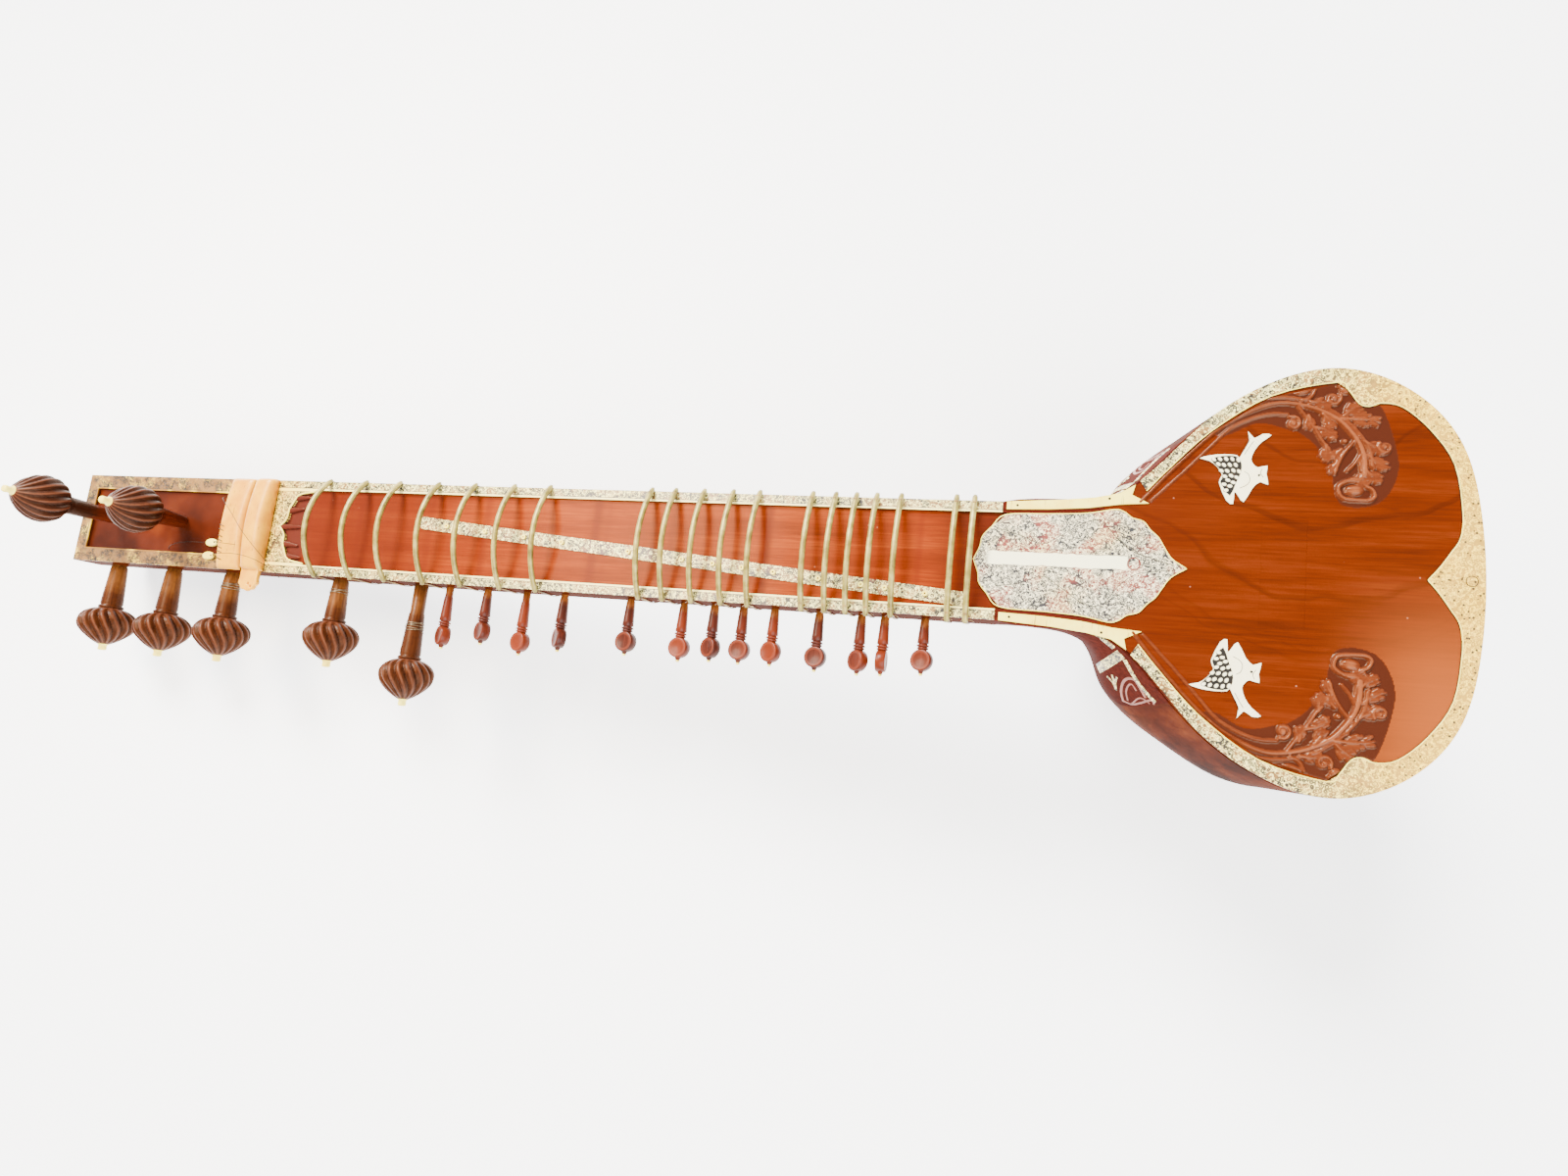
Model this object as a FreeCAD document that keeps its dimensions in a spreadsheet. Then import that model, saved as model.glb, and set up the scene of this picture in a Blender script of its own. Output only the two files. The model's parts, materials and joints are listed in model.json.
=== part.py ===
"""Sitar: a long-necked lute with a gourd bowl, movable arched frets, 7 main pegs and 13 sympathetic pegs.

Every sub-part is drawn in the instrument frame: X runs along the neck from the head (negative) to the tail
end of the soundboard (x = 0), Y across the neck with the pegs on the negative side, and Z out of the face,
with z = 0 at the top of the ivory bindings. Each finished sub-part then gets the placement LYING, which lays
the instrument on its back on the floor, z = 0 of the row frame.
"""
import FreeCAD, Part
import math
import os

import Sketcher
from FreeCAD import Placement, Rotation, Vector

doc = FreeCAD.newDocument("sitar")
sheet = doc.addObject("Spreadsheet::Sheet", "sizes")
sheet.Label = "sizes"

# alias, value in mm or degrees, what it is
DIMENSIONS = [
    ("total_len", 1225.0, "head end to tail end of the soundboard"),
    ("neck_half_tail", 46.0, "half width of the neck where it meets the bowl"),
    ("neck_half_head", 43.3, "half width at the head end"),
    ("neck_end", -325.0, "where the neck is butted to the cowl"),
    ("neck_side", 20.0, "depth of the straight sides of the neck"),
    ("neck_round", 38.0, "depth of the round back below them"),
    ("wall", 7.0, "wall of the hollow neck"),
    ("ledge", 4.5, "ledge that carries the fingerboard and the head panel"),
    ("skin", 0.8, "thickness of the ivory-coloured sheet"),
    ("recess", 2.5, "how far the playing surface lies below the bindings"),
    ("board_thick", 4.0, "fingerboard and head panel"),
    ("board_gap", 8.0, "solid wood between the nut and the fingerboard"),
    ("fit_gap", 0.05, "clearance of a board in its bed"),
    ("rail_wide", 8.5, "width of the binding along each edge of the neck"),
    ("head_wall", 13.5, "width of the frame round the head panel"),
    ("head_cap", 12.0, "length of the closed end of the head"),
    ("nut_zone_head", -1047.0, "head side of the string guide"),
    ("nut_zone_tail", -996.0, "tail side of the nut"),
    ("guide_len", 25.0, "string guide along the neck"),
    ("nut_len", 20.0, "nut along the neck"),
    ("guide_rise", 8.5, "string guide above the bindings at mid width"),
    ("nut_rise", 12.0, "nut above the bindings at mid width"),
    ("arch_drop", 4.5, "how much lower their tops are at the edges"),
    ("slot_step", 8.0, "from one string hole of the guide to the next"),
    ("slot_first", -30.0, "first string hole of the guide"),
    ("ear_reach", 17.0, "how far the nut's ear hangs past the neck"),
    ("ear_round", 9.5, "radius of the ear's scalloped end"),
    ("ear_thick", 3.5, "thickness of the ear"),
    ("fret_rise_head", 15.5, "arch of the first fret above its feet"),
    ("fret_rise_tail", 9.5, "arch of the last fret above its feet"),
    ("fret_radius", 1.9, "radius of the fret rod"),
    ("tie_wide", 2.4, "width of the bundle of tie threads"),
    ("tie_thick", 0.7, "thickness of the bundle"),
    ("tie_gap", 0.25, "clearance of the bundle to the neck"),
    ("tie_top", 2.0, "top of the bundle beside the fret's foot"),
    ("peg_hole", 5.55, "radius of a main peg's hole"),
    ("peg_shaft", 5.5, "radius of a main peg in its hole"),
    ("peg_swell", 8.2, "radius of its stem at the bulb"),
    ("peg_bulb", 21.5, "radius of the melon bulb"),
    ("peg_bulb_len", 37.0, "length of the bulb along the peg"),
    ("peg_bulb_at", 60.0, "bulb centre from the neck's side"),
    ("peg_tip", 3.2, "radius of the bone tip"),
    ("peg_tip_len", 6.0, "length of the bone tip"),
    ("main_peg_depth", 17.0, "axis of the side pegs below the bindings"),
    ("small_hole", 3.05, "radius of a sympathetic peg's hole"),
    ("small_shaft", 3.0, "radius of a sympathetic peg in its hole"),
    ("small_head", 8.5, "radius of its head"),
    ("small_head_flat", 4.5, "half thickness of its flattened head"),
    ("small_head_at", 36.0, "head centre from the neck's side"),
    ("small_reach", 24.0, "how far the shaft reaches into the neck"),
    ("string_hole", 0.8, "radius of the string hole in a shaft"),
    ("string_hole_at", 22.0, "string hole of a main peg from the neck's side"),
    ("board_body", 3.0, "thickness of the soundboard"),
    ("board_start", -250.0, "neck side end of the soundboard"),
    ("seat_at", -126.0, "bridge seat along the neck"),
    ("seat_long", 30.0, "bridge seat along the neck"),
    ("seat_wide", 78.0, "bridge seat across the neck"),
    ("seat_deep", 0.2, "how deep the seat is planed"),
    ("bowl_deep", 240.0, "depth of the bowl"),
    ("bowl_wall", 5.0, "wall of the bowl"),
    ("bowl_swell", 151.0, "half width of the bowl at its widest"),
    ("cowl_end", -196.0, "tail end of the cowl at the level of the face"),
    ("cowl_lean", 24.0, "lean of the seam between cowl and gourd"),
    ("lid_deep", 12.0, "depth of the cowl's solid shoulder beside the boards"),
    ("carving_rise", 3.2, "relief of the carved foliage"),
    ("keel_front", 8.0, "how far the tailpiece stands past the face"),
    ("keel_wide", 40.0, "tailpiece across"),
    ("keel_high", 34.0, "tailpiece along the bowl's depth"),
    ("post_radius", 3.0, "string post on the tailpiece"),
    ("post_len", 6.5, "free length of the string post"),
    ("post_depth", 58.0, "string post below the face"),
    ("rest_tilt", 9.3, "pitch of the instrument when it lies on its back"),
    ("strip_half", 5.6, "half width of the strip that carries the eyelets"),
    ("eyelet", 2.1, "radius of an eyelet"),
    ("eyelet_rise", 1.4, "height of an eyelet above the strip"),
    ("wire", 0.5, "diameter of a broken string"),
    ("bead_long", 12.5, "tuning bead along its string"),
    ("bead_wide", 7.5, "tuning bead across"),
    ("bead_thick", 3.4, "tuning bead thickness"),
    ("bead_round", 1.2, "rounding of a bead's edge"),
]
FRET_PLACES = [
    -939.0, -900.0, -864.0, -823.5, -786.0, -747.0, -712.0, -616.5, -595.0, -569.5,
    -544.0, -521.0, -476.0, -457.0, -440.0, -423.5, -404.0, -360.5, -346.5,
]
# Place of each side peg along the neck, and how far it is drawn out of its hole.
SIDE_PEGS = [(-1191.0, 1.0), (-1122.0, 2.0), (-1051.0, 1.5), (-927.0, -3.0), (-840.0, 25.0)]
# How far the shafts reach in from the neck's side and from the head panel.
SIDE_PEG_REACH, FRONT_PEG_REACH = 75.0, 45.0
# Front pegs stand on the head panel.
FRONT_PEGS = [(-1179.0, 3.5), (-1103.0, -18.0)]
# Place of each sympathetic peg, how far it is drawn out, and how far its flat head is turned.
SMALL_PEGS = [
    (-810.0, 8.0, 30.0), (-771.0, 1.5, 28.0), (-732.0, 8.0, 15.0), (-695.0, 2.0, 40.0), (-632.0, 0.5, 8.0),
    (-583.0, 2.0, 5.0), (-555.5, 0.0, 25.0), (-530.0, 0.0, 5.0), (-503.0, -0.5, 20.0), (-465.0, 1.0, 6.0),
    (-430.0, 1.0, 35.0), (-411.0, 0.0, 88.0), (-379.0, -3.0, 14.0),
]


def fill_sheet():
    """Writes every driving dimension into the spreadsheet with its alias."""
    rows = list(DIMENSIONS)
    rows += [("fret_place_%02d" % (i + 1), x, "fret along the neck") for i, x in enumerate(FRET_PLACES)]
    for row, (alias, value, note) in enumerate(rows, start=1):
        sheet.set("A%d" % row, alias)
        sheet.set("B%d" % row, str(value))
        sheet.set("C%d" % row, note)
        sheet.setAlias("B%d" % row, alias)
    doc.recompute()


fill_sheet()


def size(alias):
    return float(sheet.get(alias))


def neck_half(x):
    """Half width of the neck at x, which narrows evenly towards the head."""
    slope = (size("neck_half_tail") - size("neck_half_head")) / (size("total_len") + size("neck_end"))
    return size("neck_half_tail") + slope * (x - size("neck_end"))


def lying_placement():
    """The pitch that brings the back of the head down to the floor beside the bowl, centred over x = 0."""
    turn = Rotation(Vector(0, 1, 0), -size("rest_tilt"))
    heel = turn.multVec(Vector(-size("total_len"), 0, -size("neck_side") - size("neck_round")))
    post = Vector(size("keel_front") + size("post_len"), 0, -size("post_depth") - size("post_radius"))
    head = Vector(-size("total_len"), 0, 0)
    middle = (turn.multVec(post).x + turn.multVec(head).x) / 2
    return Placement(Vector(-middle, 0, -heel.z), turn)


LYING = lying_placement()
finished = {}


def finish(obj, name):
    """Names a finished sub-part and lays it down with the instrument."""
    obj.Label = name
    obj.Placement = LYING.multiply(obj.Placement)
    finished[name] = obj


def new_body(name):
    body = doc.addObject("PartDesign::Body", name)
    body.Label = name
    return body


def sketch_on(body, name, role, offset=0.0):
    """A sketch on one of the body's own origin planes, moved along the plane's normal."""
    sketch = body.newObject("Sketcher::SketchObject", name)
    plane = next(o for o in body.Origin.OriginFeatures if o.Role == role)
    sketch.AttachmentSupport = (plane, [""])
    sketch.MapMode = "FlatFace"
    sketch.AttachmentOffset = Placement(Vector(0, 0, offset), Rotation())
    return sketch


def feature(body, kind, name, profile, **bound):
    """A PartDesign feature on a profile, with its sizes bound to sheet expressions."""
    made = body.newObject("PartDesign::" + kind, name)
    made.Profile = profile
    for prop, expression in bound.items():
        if isinstance(expression, str):
            made.setExpression(prop, expression)
        else:
            setattr(made, prop, expression)
    return made


def closed_path(sketch, points):
    """A closed polygon of straight lines through the points."""
    pts = [Vector(p[0], p[1], 0) for p in points]
    for a, b in zip(pts, pts[1:] + pts[:1]):
        sketch.addGeometry(Part.LineSegment(a, b), False)


def bound_rectangle(sketch, left, right, bottom, top):
    """A rectangle whose four sides are bound to sheet expressions, as distances from the sketch origin."""
    corners = [(-20.0, -10.0), (20.0, -10.0), (20.0, 10.0), (-20.0, 10.0)]
    first = len(sketch.Geometry)
    closed_path(sketch, corners)
    for i in range(4):
        sketch.addConstraint(Sketcher.Constraint("Coincident", first + i, 2, first + (i + 1) % 4, 1))
    for i, kind in enumerate(("Horizontal", "Vertical", "Horizontal", "Vertical")):
        sketch.addConstraint(Sketcher.Constraint(kind, first + i))
    sides = [("DistanceX", 0, left), ("DistanceX", 1, right),
             ("DistanceY", 0, bottom), ("DistanceY", 2, top)]
    for kind, line, expression in sides:
        start = corners[line][0 if kind == "DistanceX" else 1]
        index = sketch.addConstraint(Sketcher.Constraint(kind, -1, 1, first + line, 1, start))
        label = "side_%d_%s_%d" % (first, kind.lower(), line)
        sketch.renameConstraint(index, label)
        sketch.setExpression("Constraints." + label, expression)


def bound_circle(sketch, x, y, radius):
    """A circle at a plain place whose radius is bound to a sheet expression."""
    index = sketch.addGeometry(Part.Circle(Vector(x, y, 0), Vector(0, 0, 1), 1.0), False)
    sketch.addConstraint(Sketcher.Constraint("DistanceX", -1, 1, index, 3, x))
    sketch.addConstraint(Sketcher.Constraint("DistanceY", -1, 1, index, 3, y))
    where = sketch.addConstraint(Sketcher.Constraint("Radius", index, 1.0))
    label = "hole_%d" % index
    sketch.renameConstraint(where, label)
    sketch.setExpression("Constraints." + label, radius)


def spline(points, closed=False, tangents=None):
    """An interpolated spline through plan points."""
    curve = Part.BSplineCurve()
    pts = [Vector(p[0], p[1], p[2] if len(p) > 2 else 0) for p in points]
    if tangents:
        curve.interpolate(Points=pts, InitialTangent=tangents[0], FinalTangent=tangents[1])
    else:
        curve.interpolate(Points=pts, PeriodicFlag=closed)
    return curve


def mirrored(points):
    """The points, then the same ones reflected across the neck's centre line, in reverse."""
    back = [(x, -y) for x, y in reversed(points)]
    if points[-1][1] == 0:
        back = back[1:]
    return list(points) + back


def plate(name, edge_curves, bottom, top):
    """A flat sheet-like piece: one PartDesign pad of closed plan curves between two levels."""
    body = new_body(name)
    sketch = sketch_on(body, name + "_plan", "XY_Plane", bottom)
    for curve in edge_curves:
        sketch.addGeometry(curve, False)
    doc.recompute()
    feature(body, "Pad", name + "_pad", sketch, Length=top - bottom)
    doc.recompute()
    return body


# ---------------------------------------------------------------- neck

def u_section(sketch, half, top, side, drop):
    """A U: a flat top, straight sides and a half ellipse below them, in the plane across the neck."""
    ellipse = Part.Ellipse(Vector(half, -side, 0), Vector(0, -side - drop, 0), Vector(0, -side, 0))
    if half < drop:
        ellipse = Part.Ellipse(Vector(0, -side - drop, 0), Vector(half, -side, 0), Vector(0, -side, 0))
    corners = [Vector(half, top, 0), Vector(half, -side, 0), Vector(-half, -side, 0), Vector(-half, top, 0)]
    sketch.addGeometry(Part.LineSegment(corners[3], corners[0]), False)
    sketch.addGeometry(Part.LineSegment(corners[0], corners[1]), False)
    start, end = (0.0, math.pi) if half >= drop else (-math.pi / 2, math.pi / 2)
    sketch.addGeometry(Part.ArcOfEllipse(ellipse, start, end), False)
    sketch.addGeometry(Part.LineSegment(corners[2], corners[3]), False)


def u_loft(body, name, kind, x_from, x_to, inset_from, inset_to, top, drop_inset):
    """A loft between two U sections, added to or cut from the body."""
    ends = []
    for tag, x, inset in (("head", x_from, inset_from), ("tail", x_to, inset_to)):
        sketch = sketch_on(body, "%s_%s" % (name, tag), "YZ_Plane", x)
        u_section(sketch, neck_half(x) - inset, top, size("neck_side"), size("neck_round") - drop_inset)
        ends.append(sketch)
    doc.recompute()
    loft = body.newObject("PartDesign::" + kind, name)
    loft.Profile = ends[0]
    loft.Sections = [ends[1]]
    loft.Ruled = True
    doc.recompute()
    return loft


def make_neck_shell():
    """The hollow neck and peg box, one piece of wood, with the peg holes through its side."""
    body = new_body("neck_shell")
    head = -size("total_len")
    wood_top = -size("skin")
    u_loft(body, "neck_outer", "AdditiveLoft", head, size("neck_end"), 0.0, 0.0, wood_top, 0.0)
    solid = body.Shape.Volume
    ledge, rail, box_wall = size("ledge"), size("rail_wide"), size("head_wall")
    u_loft(body, "peg_box_hollow", "SubtractiveLoft", head + size("head_cap") + ledge,
           size("nut_zone_head") - ledge, box_wall + ledge, box_wall + ledge, 1.0, box_wall)
    u_loft(body, "neck_hollow", "SubtractiveLoft", size("nut_zone_tail") + size("board_gap") + ledge,
           size("neck_end") + 1.0, rail + ledge, rail + ledge, 1.0, size("wall"))
    bed = sketch_on(body, "board_beds", "XY_Plane", -size("recess") - size("board_thick"))
    start, end = size("nut_zone_tail") + size("board_gap"), size("neck_end") + 1.0
    closed_path(bed, [(start, -neck_half(start) + rail), (end, -neck_half(end) + rail),
                      (end, neck_half(end) - rail), (start, neck_half(start) - rail)])
    bound_rectangle(bed, "-sizes.total_len + sizes.head_cap", "sizes.nut_zone_head",
                    "-(sizes.neck_half_head - sizes.head_wall)", "sizes.neck_half_head - sizes.head_wall")
    doc.recompute()
    feature(body, "Pocket", "board_bed_cut", bed, Length="sizes.recess + sizes.board_thick + 5",
            Reversed=True)
    doc.recompute()
    depth = size("main_peg_depth")
    near = sketch_on(body, "near_holes", "XZ_Plane")
    for x, _ in SIDE_PEGS:
        bound_circle(near, x, -depth, "sizes.peg_hole")
    for x, _, _ in SMALL_PEGS:
        bound_circle(near, x, -depth, "sizes.small_hole")
    far = sketch_on(body, "far_holes", "XZ_Plane")
    for x, _ in SIDE_PEGS[:4]:
        bound_circle(far, x, -depth, "sizes.peg_hole")
    seats = sketch_on(body, "front_peg_seats", "XY_Plane", -40.0)
    for x, _ in FRONT_PEGS:
        bound_circle(seats, x, 0.0, "sizes.peg_hole")
    doc.recompute()
    feature(body, "Pocket", "near_hole_cut", near, Length="sizes.neck_half_tail + 5", Reversed=True)
    doc.recompute()
    feature(body, "Pocket", "far_hole_cut", far, Length="sizes.neck_half_head - 5")
    doc.recompute()
    feature(body, "Pocket", "seat_cut", seats, Length="10")
    doc.recompute()
    if not 0 < body.Shape.Volume < 0.7 * solid:
        raise RuntimeError("the neck is not hollow")
    finish(body, "neck_shell")


def make_boards():
    """The recessed fingerboard and the head panel, both of red wood between the rails."""
    bottom = -size("recess") - size("board_thick")
    body = new_body("fingerboard")
    sketch = sketch_on(body, "fingerboard_plan", "XY_Plane", bottom)
    start, end = size("nut_zone_tail") + size("board_gap"), size("board_start")
    clear = size("rail_wide") + size("fit_gap")
    closed_path(sketch, [(start, -neck_half(start) + clear), (end, -neck_half(size("neck_end")) + clear),
                         (end, neck_half(size("neck_end")) - clear), (start, neck_half(start) - clear)])
    doc.recompute()
    feature(body, "Pad", "fingerboard_pad", sketch, Length="sizes.board_thick")
    doc.recompute()
    finish(body, "fingerboard")

    body = new_body("head_panel")
    sketch = sketch_on(body, "head_panel_plan", "XY_Plane", bottom)
    side = "(sizes.neck_half_head - sizes.head_wall - sizes.fit_gap)"
    bound_rectangle(sketch, "-sizes.total_len + sizes.head_cap + sizes.fit_gap",
                    "sizes.nut_zone_head - sizes.fit_gap", "-" + side, side)
    for x, _ in FRONT_PEGS:
        bound_circle(sketch, x, 0.0, "sizes.peg_hole")
    doc.recompute()
    feature(body, "Pad", "head_panel_pad", sketch, Length="sizes.board_thick")
    doc.recompute()
    finish(body, "head_panel")


def scalloped_end(x, half, depth):
    """The cusped inner edge of the sheet beside the nut, from the +Y rail to the -Y rail."""
    return [(x + depth, half), (x + 0.47 * depth, half - 3.5), (x + 0.3 * depth, 0.66 * half),
            (x + 0.22 * depth, 0.5 * half), (x + 0.2 * depth, 0.22 * half), (x, 0.0)]


def make_neck_bindings():
    """Frame round the head panel, the cusped sheet beside the nut and the strips along both rails."""
    head, skin = -size("total_len"), size("skin")
    frame_end = size("nut_zone_head")
    inner = size("neck_half_head") - size("head_wall")
    pieces = []
    out = [(head, neck_half(head)), (frame_end, neck_half(frame_end)), (frame_end, inner),
           (head + size("head_cap"), inner), (head + size("head_cap"), -inner), (frame_end, -inner),
           (frame_end, -neck_half(frame_end)), (head, -neck_half(head))]
    nut_tail, strip_end = size("nut_zone_tail"), size("neck_end")
    rail = size("rail_wide")
    lobes = scalloped_end(nut_tail + 9.0, neck_half(nut_tail) - rail, 34.0)
    first_x = lobes[0][0]
    far = [(strip_end, neck_half(strip_end)), (strip_end, neck_half(strip_end) - rail),
           (first_x, lobes[0][1])]
    half_outline = [(nut_tail, neck_half(nut_tail))] + far + lobes[1:]
    for tag, points in (("head", out), ("neck", mirrored(half_outline))):
        body = new_body("binding_" + tag)
        sketch = sketch_on(body, "binding_plan_" + tag, "XY_Plane", -skin)
        closed_path(sketch, points)
        doc.recompute()
        feature(body, "Pad", "binding_pad_" + tag, sketch, Length="sizes.skin")
        pieces.append(body)
    bed_start = nut_tail + size("board_gap") + 0.1
    under = [(bed_start, lobes[0][1] - 0.6)] + [(x, y * 0.98) for x, y in lobes]
    body = new_body("binding_packing")
    sketch = sketch_on(body, "binding_packing_plan", "XY_Plane", -size("recess"))
    closed_path(sketch, mirrored(under))
    doc.recompute()
    feature(body, "Pad", "binding_packing_pad", sketch, Length="sizes.recess - sizes.skin")
    pieces.append(body)
    doc.recompute()
    group = doc.addObject("Part::Compound", "neck_bindings")
    group.Links = pieces
    doc.recompute()
    finish(group, "neck_bindings")


def arched_block(name, x, length, rise):
    """A bone block across the neck with an arched top, drawn across the neck and padded along it."""
    body = new_body(name)
    sketch = sketch_on(body, name + "_section", "YZ_Plane", x)
    half, low = neck_half(x) - 0.2, rise - size("arch_drop")
    ends = [Vector(-half, low, 0), Vector(0, rise, 0), Vector(half, low, 0)]
    sketch.addGeometry(Part.Arc(*ends), False)
    sketch.addGeometry(Part.LineSegment(ends[2], Vector(half, 0, 0)), False)
    sketch.addGeometry(Part.LineSegment(Vector(half, 0, 0), Vector(-half, 0, 0)), False)
    sketch.addGeometry(Part.LineSegment(Vector(-half, 0, 0), ends[0]), False)
    doc.recompute()
    feature(body, "Pad", name + "_pad", sketch, Length="sizes.%s" % length)
    doc.recompute()
    return body, half


def make_nut_and_guide():
    """The slotted string guide, and the nut with the ear that hangs past the peg side of the neck."""
    body, _ = arched_block("string_guide", size("nut_zone_head"), "guide_len", size("guide_rise"))
    slots = sketch_on(body, "guide_holes", "YZ_Plane", size("nut_zone_head"))
    for i in range(7):
        bound_circle(slots, size("slot_first") + size("slot_step") * i, 3.0, "sizes.string_hole")
    doc.recompute()
    feature(body, "Pocket", "guide_hole_cut", slots, Length="sizes.guide_len + 1", Reversed=True)
    doc.recompute()
    finish(body, "string_guide")

    start = size("nut_zone_tail") - size("nut_len")
    body, half = arched_block("nut", start, "nut_len", size("nut_rise"))
    ear = sketch_on(body, "nut_ear", "XY_Plane", 1.0)
    mid = start + size("nut_len") / 2
    end, root = start + size("nut_len"), -half + 2.0
    radius = size("ear_round")
    centre = -half - size("ear_reach") + radius / 2
    outline = [(start, root), (start, centre + 1.0)]
    for i in range(13):
        angle = math.pi + math.pi * i / 12
        reach = radius * (1.0 + 0.06 * math.cos(6 * angle))
        outline.append((mid + reach * math.cos(angle), centre + reach * math.sin(angle)))
    outline += [(end, centre + 1.0), (end, root)]
    closed_path(ear, outline)
    doc.recompute()
    feature(body, "Pad", "nut_ear_pad", ear, Length="sizes.ear_thick")
    doc.recompute()
    finish(body, "nut")


# ---------------------------------------------------------------- frets

def make_fret(number):
    """One arched brass rod whose feet stand on the rails, and the threads that tie it round the neck."""
    place = "sizes.fret_place_%02d" % number
    x = size("fret_place_%02d" % number)
    foot = neck_half(x) - 1.2
    rod = size("fret_radius")
    share = (x - FRET_PLACES[0]) / (FRET_PLACES[-1] - FRET_PLACES[0])
    rise = size("fret_rise_head") + share * (size("fret_rise_tail") - size("fret_rise_head"))
    arc = (foot * foot + rise * rise) / (2 * rise)
    reach = math.degrees(math.asin(foot / arc)) + 4.0
    torus = doc.addObject("Part::Torus", "fret_rod_%02d" % number)
    torus.Radius1 = arc
    torus.setExpression("Radius2", "sizes.fret_radius")
    torus.Angle3 = 2 * reach
    upright = Rotation(Vector(0, 1, 0), 90).multiply(Rotation(Vector(0, 0, 1), 180 - reach))
    torus.Placement = Placement(Vector(x, 0, rise - arc + rod), upright)
    torus.setExpression(".Placement.Base.x", place)
    floor = doc.addObject("Part::Box", "rail_level_%02d" % number)
    floor.Length, floor.Width, floor.Height = 20.0, 200.0, 60.0
    floor.Placement = Placement(Vector(x - 10, -100, -59.95), Rotation())
    floor.setExpression(".Placement.Base.x", place + " - 10")
    rod_cut = doc.addObject("Part::Cut", "fret_bar_%02d" % number)
    rod_cut.Base, rod_cut.Tool = torus, floor

    tie = new_body("fret_tie_%02d" % number)
    sketch = sketch_on(tie, "tie_section_%02d" % number, "YZ_Plane", x)
    gap, thick = size("tie_gap"), size("tie_thick")
    side, drop, tie_top = size("neck_side"), size("neck_round"), size("tie_top")
    inner, outer = neck_half(x) + gap, neck_half(x) + gap + thick
    for half, low in ((inner, drop + gap), (outer, drop + gap + thick)):
        ellipse = Part.Ellipse(Vector(half, -side, 0), Vector(0, -side - low, 0), Vector(0, -side, 0))
        sketch.addGeometry(Part.ArcOfEllipse(ellipse, 0.0, math.pi), False)
        for sign in (-1, 1):
            low_end, high_end = Vector(sign * half, -side, 0), Vector(sign * half, tie_top, 0)
            sketch.addGeometry(Part.LineSegment(low_end, high_end), False)
    for sign in (-1, 1):
        near, far = Vector(sign * inner, tie_top, 0), Vector(sign * outer, tie_top, 0)
        sketch.addGeometry(Part.LineSegment(near, far), False)
    doc.recompute()
    feature(tie, "Pad", "tie_pad_%02d" % number, sketch, Length="sizes.tie_wide", Midplane=True)
    node = doc.addObject("Part::Compound", "fret_%02d" % number)
    knot = doc.addObject("Part::Cut", "fret_thread_%02d" % number)
    knot.Base, knot.Tool = tie, rod_cut
    node.Links = [rod_cut, knot]
    doc.recompute()
    finish(node, "fret_%02d" % number)


# ---------------------------------------------------------------- pegs

def bone_tip(name, radius, start, length, place):
    """A turned bone button: a short cylinder with a domed end."""
    tip = doc.addObject("Part::Cylinder", name)
    tip.Radius, tip.Height = radius, length
    tip.Placement = place.multiply(Placement(Vector(0, 0, start), Rotation()))
    return tip


# Where a main peg's knob is widest, as a share of its length from the stem.
BULB_WIDEST_SHARE = 0.43


def bulge(widest_radius, widest_level, end_radius, end_level):
    """Arc of a turned profile that is upright where it is widest and goes through the end point."""
    inwards, rise = widest_radius - end_radius, end_level - widest_level
    radius = (inwards ** 2 + rise ** 2) / (2 * inwards)
    turn = math.atan2(rise, end_radius - widest_radius + radius) / 2
    middle = Vector(widest_radius - radius + radius * math.cos(turn),
                    widest_level + radius * math.sin(turn), 0)
    return Part.Arc(Vector(widest_radius, widest_level, 0), middle, Vector(end_radius, end_level, 0))


def make_main_peg(name, place, drawn_out, reach):
    """A main peg along its own Z: shaft in the hole, swelling stem, melon bulb and bone tip."""
    body = new_body(name + "_wood")
    shaft, swell, bulb = size("peg_shaft"), size("peg_swell"), size("peg_bulb")
    centre = size("peg_bulb_at") + drawn_out
    half_len = size("peg_bulb_len") / 2
    tip = size("peg_tip")
    stem_top = centre - half_len * math.sqrt(1 - (swell / bulb) ** 2)
    crown = centre + half_len * math.sqrt(1 - ((tip + 0.6) / bulb) ** 2)
    section = sketch_on(body, name + "_section", "XZ_Plane")
    chain = [(0, -reach + drawn_out), (shaft, -reach + drawn_out), (shaft, max(drawn_out, 0) + 1.0),
             (swell - 0.4, stem_top - 4.0), (swell + 0.9, stem_top - 2.6), (swell, stem_top)]
    points = [Vector(r, z, 0) for r, z in chain]
    for a, b in zip(points, points[1:]):
        section.addGeometry(Part.LineSegment(a, b), False)
    widest = stem_top + BULB_WIDEST_SHARE * (crown - stem_top)
    for end_radius, end_level in ((swell, stem_top), (tip + 0.6, crown)):
        section.addGeometry(bulge(bulb, widest, end_radius, end_level), False)
    last = [Vector(tip + 0.6, crown, 0), Vector(0, crown, 0), points[0]]
    for a, b in zip(last, last[1:]):
        section.addGeometry(Part.LineSegment(a, b), False)
    doc.recompute()
    turned = feature(body, "Revolution", name + "_turned", section, Angle="360")
    turned.ReferenceAxis = (section, ["V_Axis"])
    doc.recompute()
    hole = sketch_on(body, name + "_string_hole", "XZ_Plane")
    bound_circle(hole, 0.0, -size("string_hole_at"), "sizes.string_hole")
    doc.recompute()
    feature(body, "Pocket", name + "_hole_cut", hole, Length="30", Midplane=True)
    body.Placement = place
    cap = bone_tip(name + "_tip", tip, crown, size("peg_tip_len"), place)
    node = doc.addObject("Part::Compound", name)
    node.Links = [body, cap]
    doc.recompute()
    finish(node, name)


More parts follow.
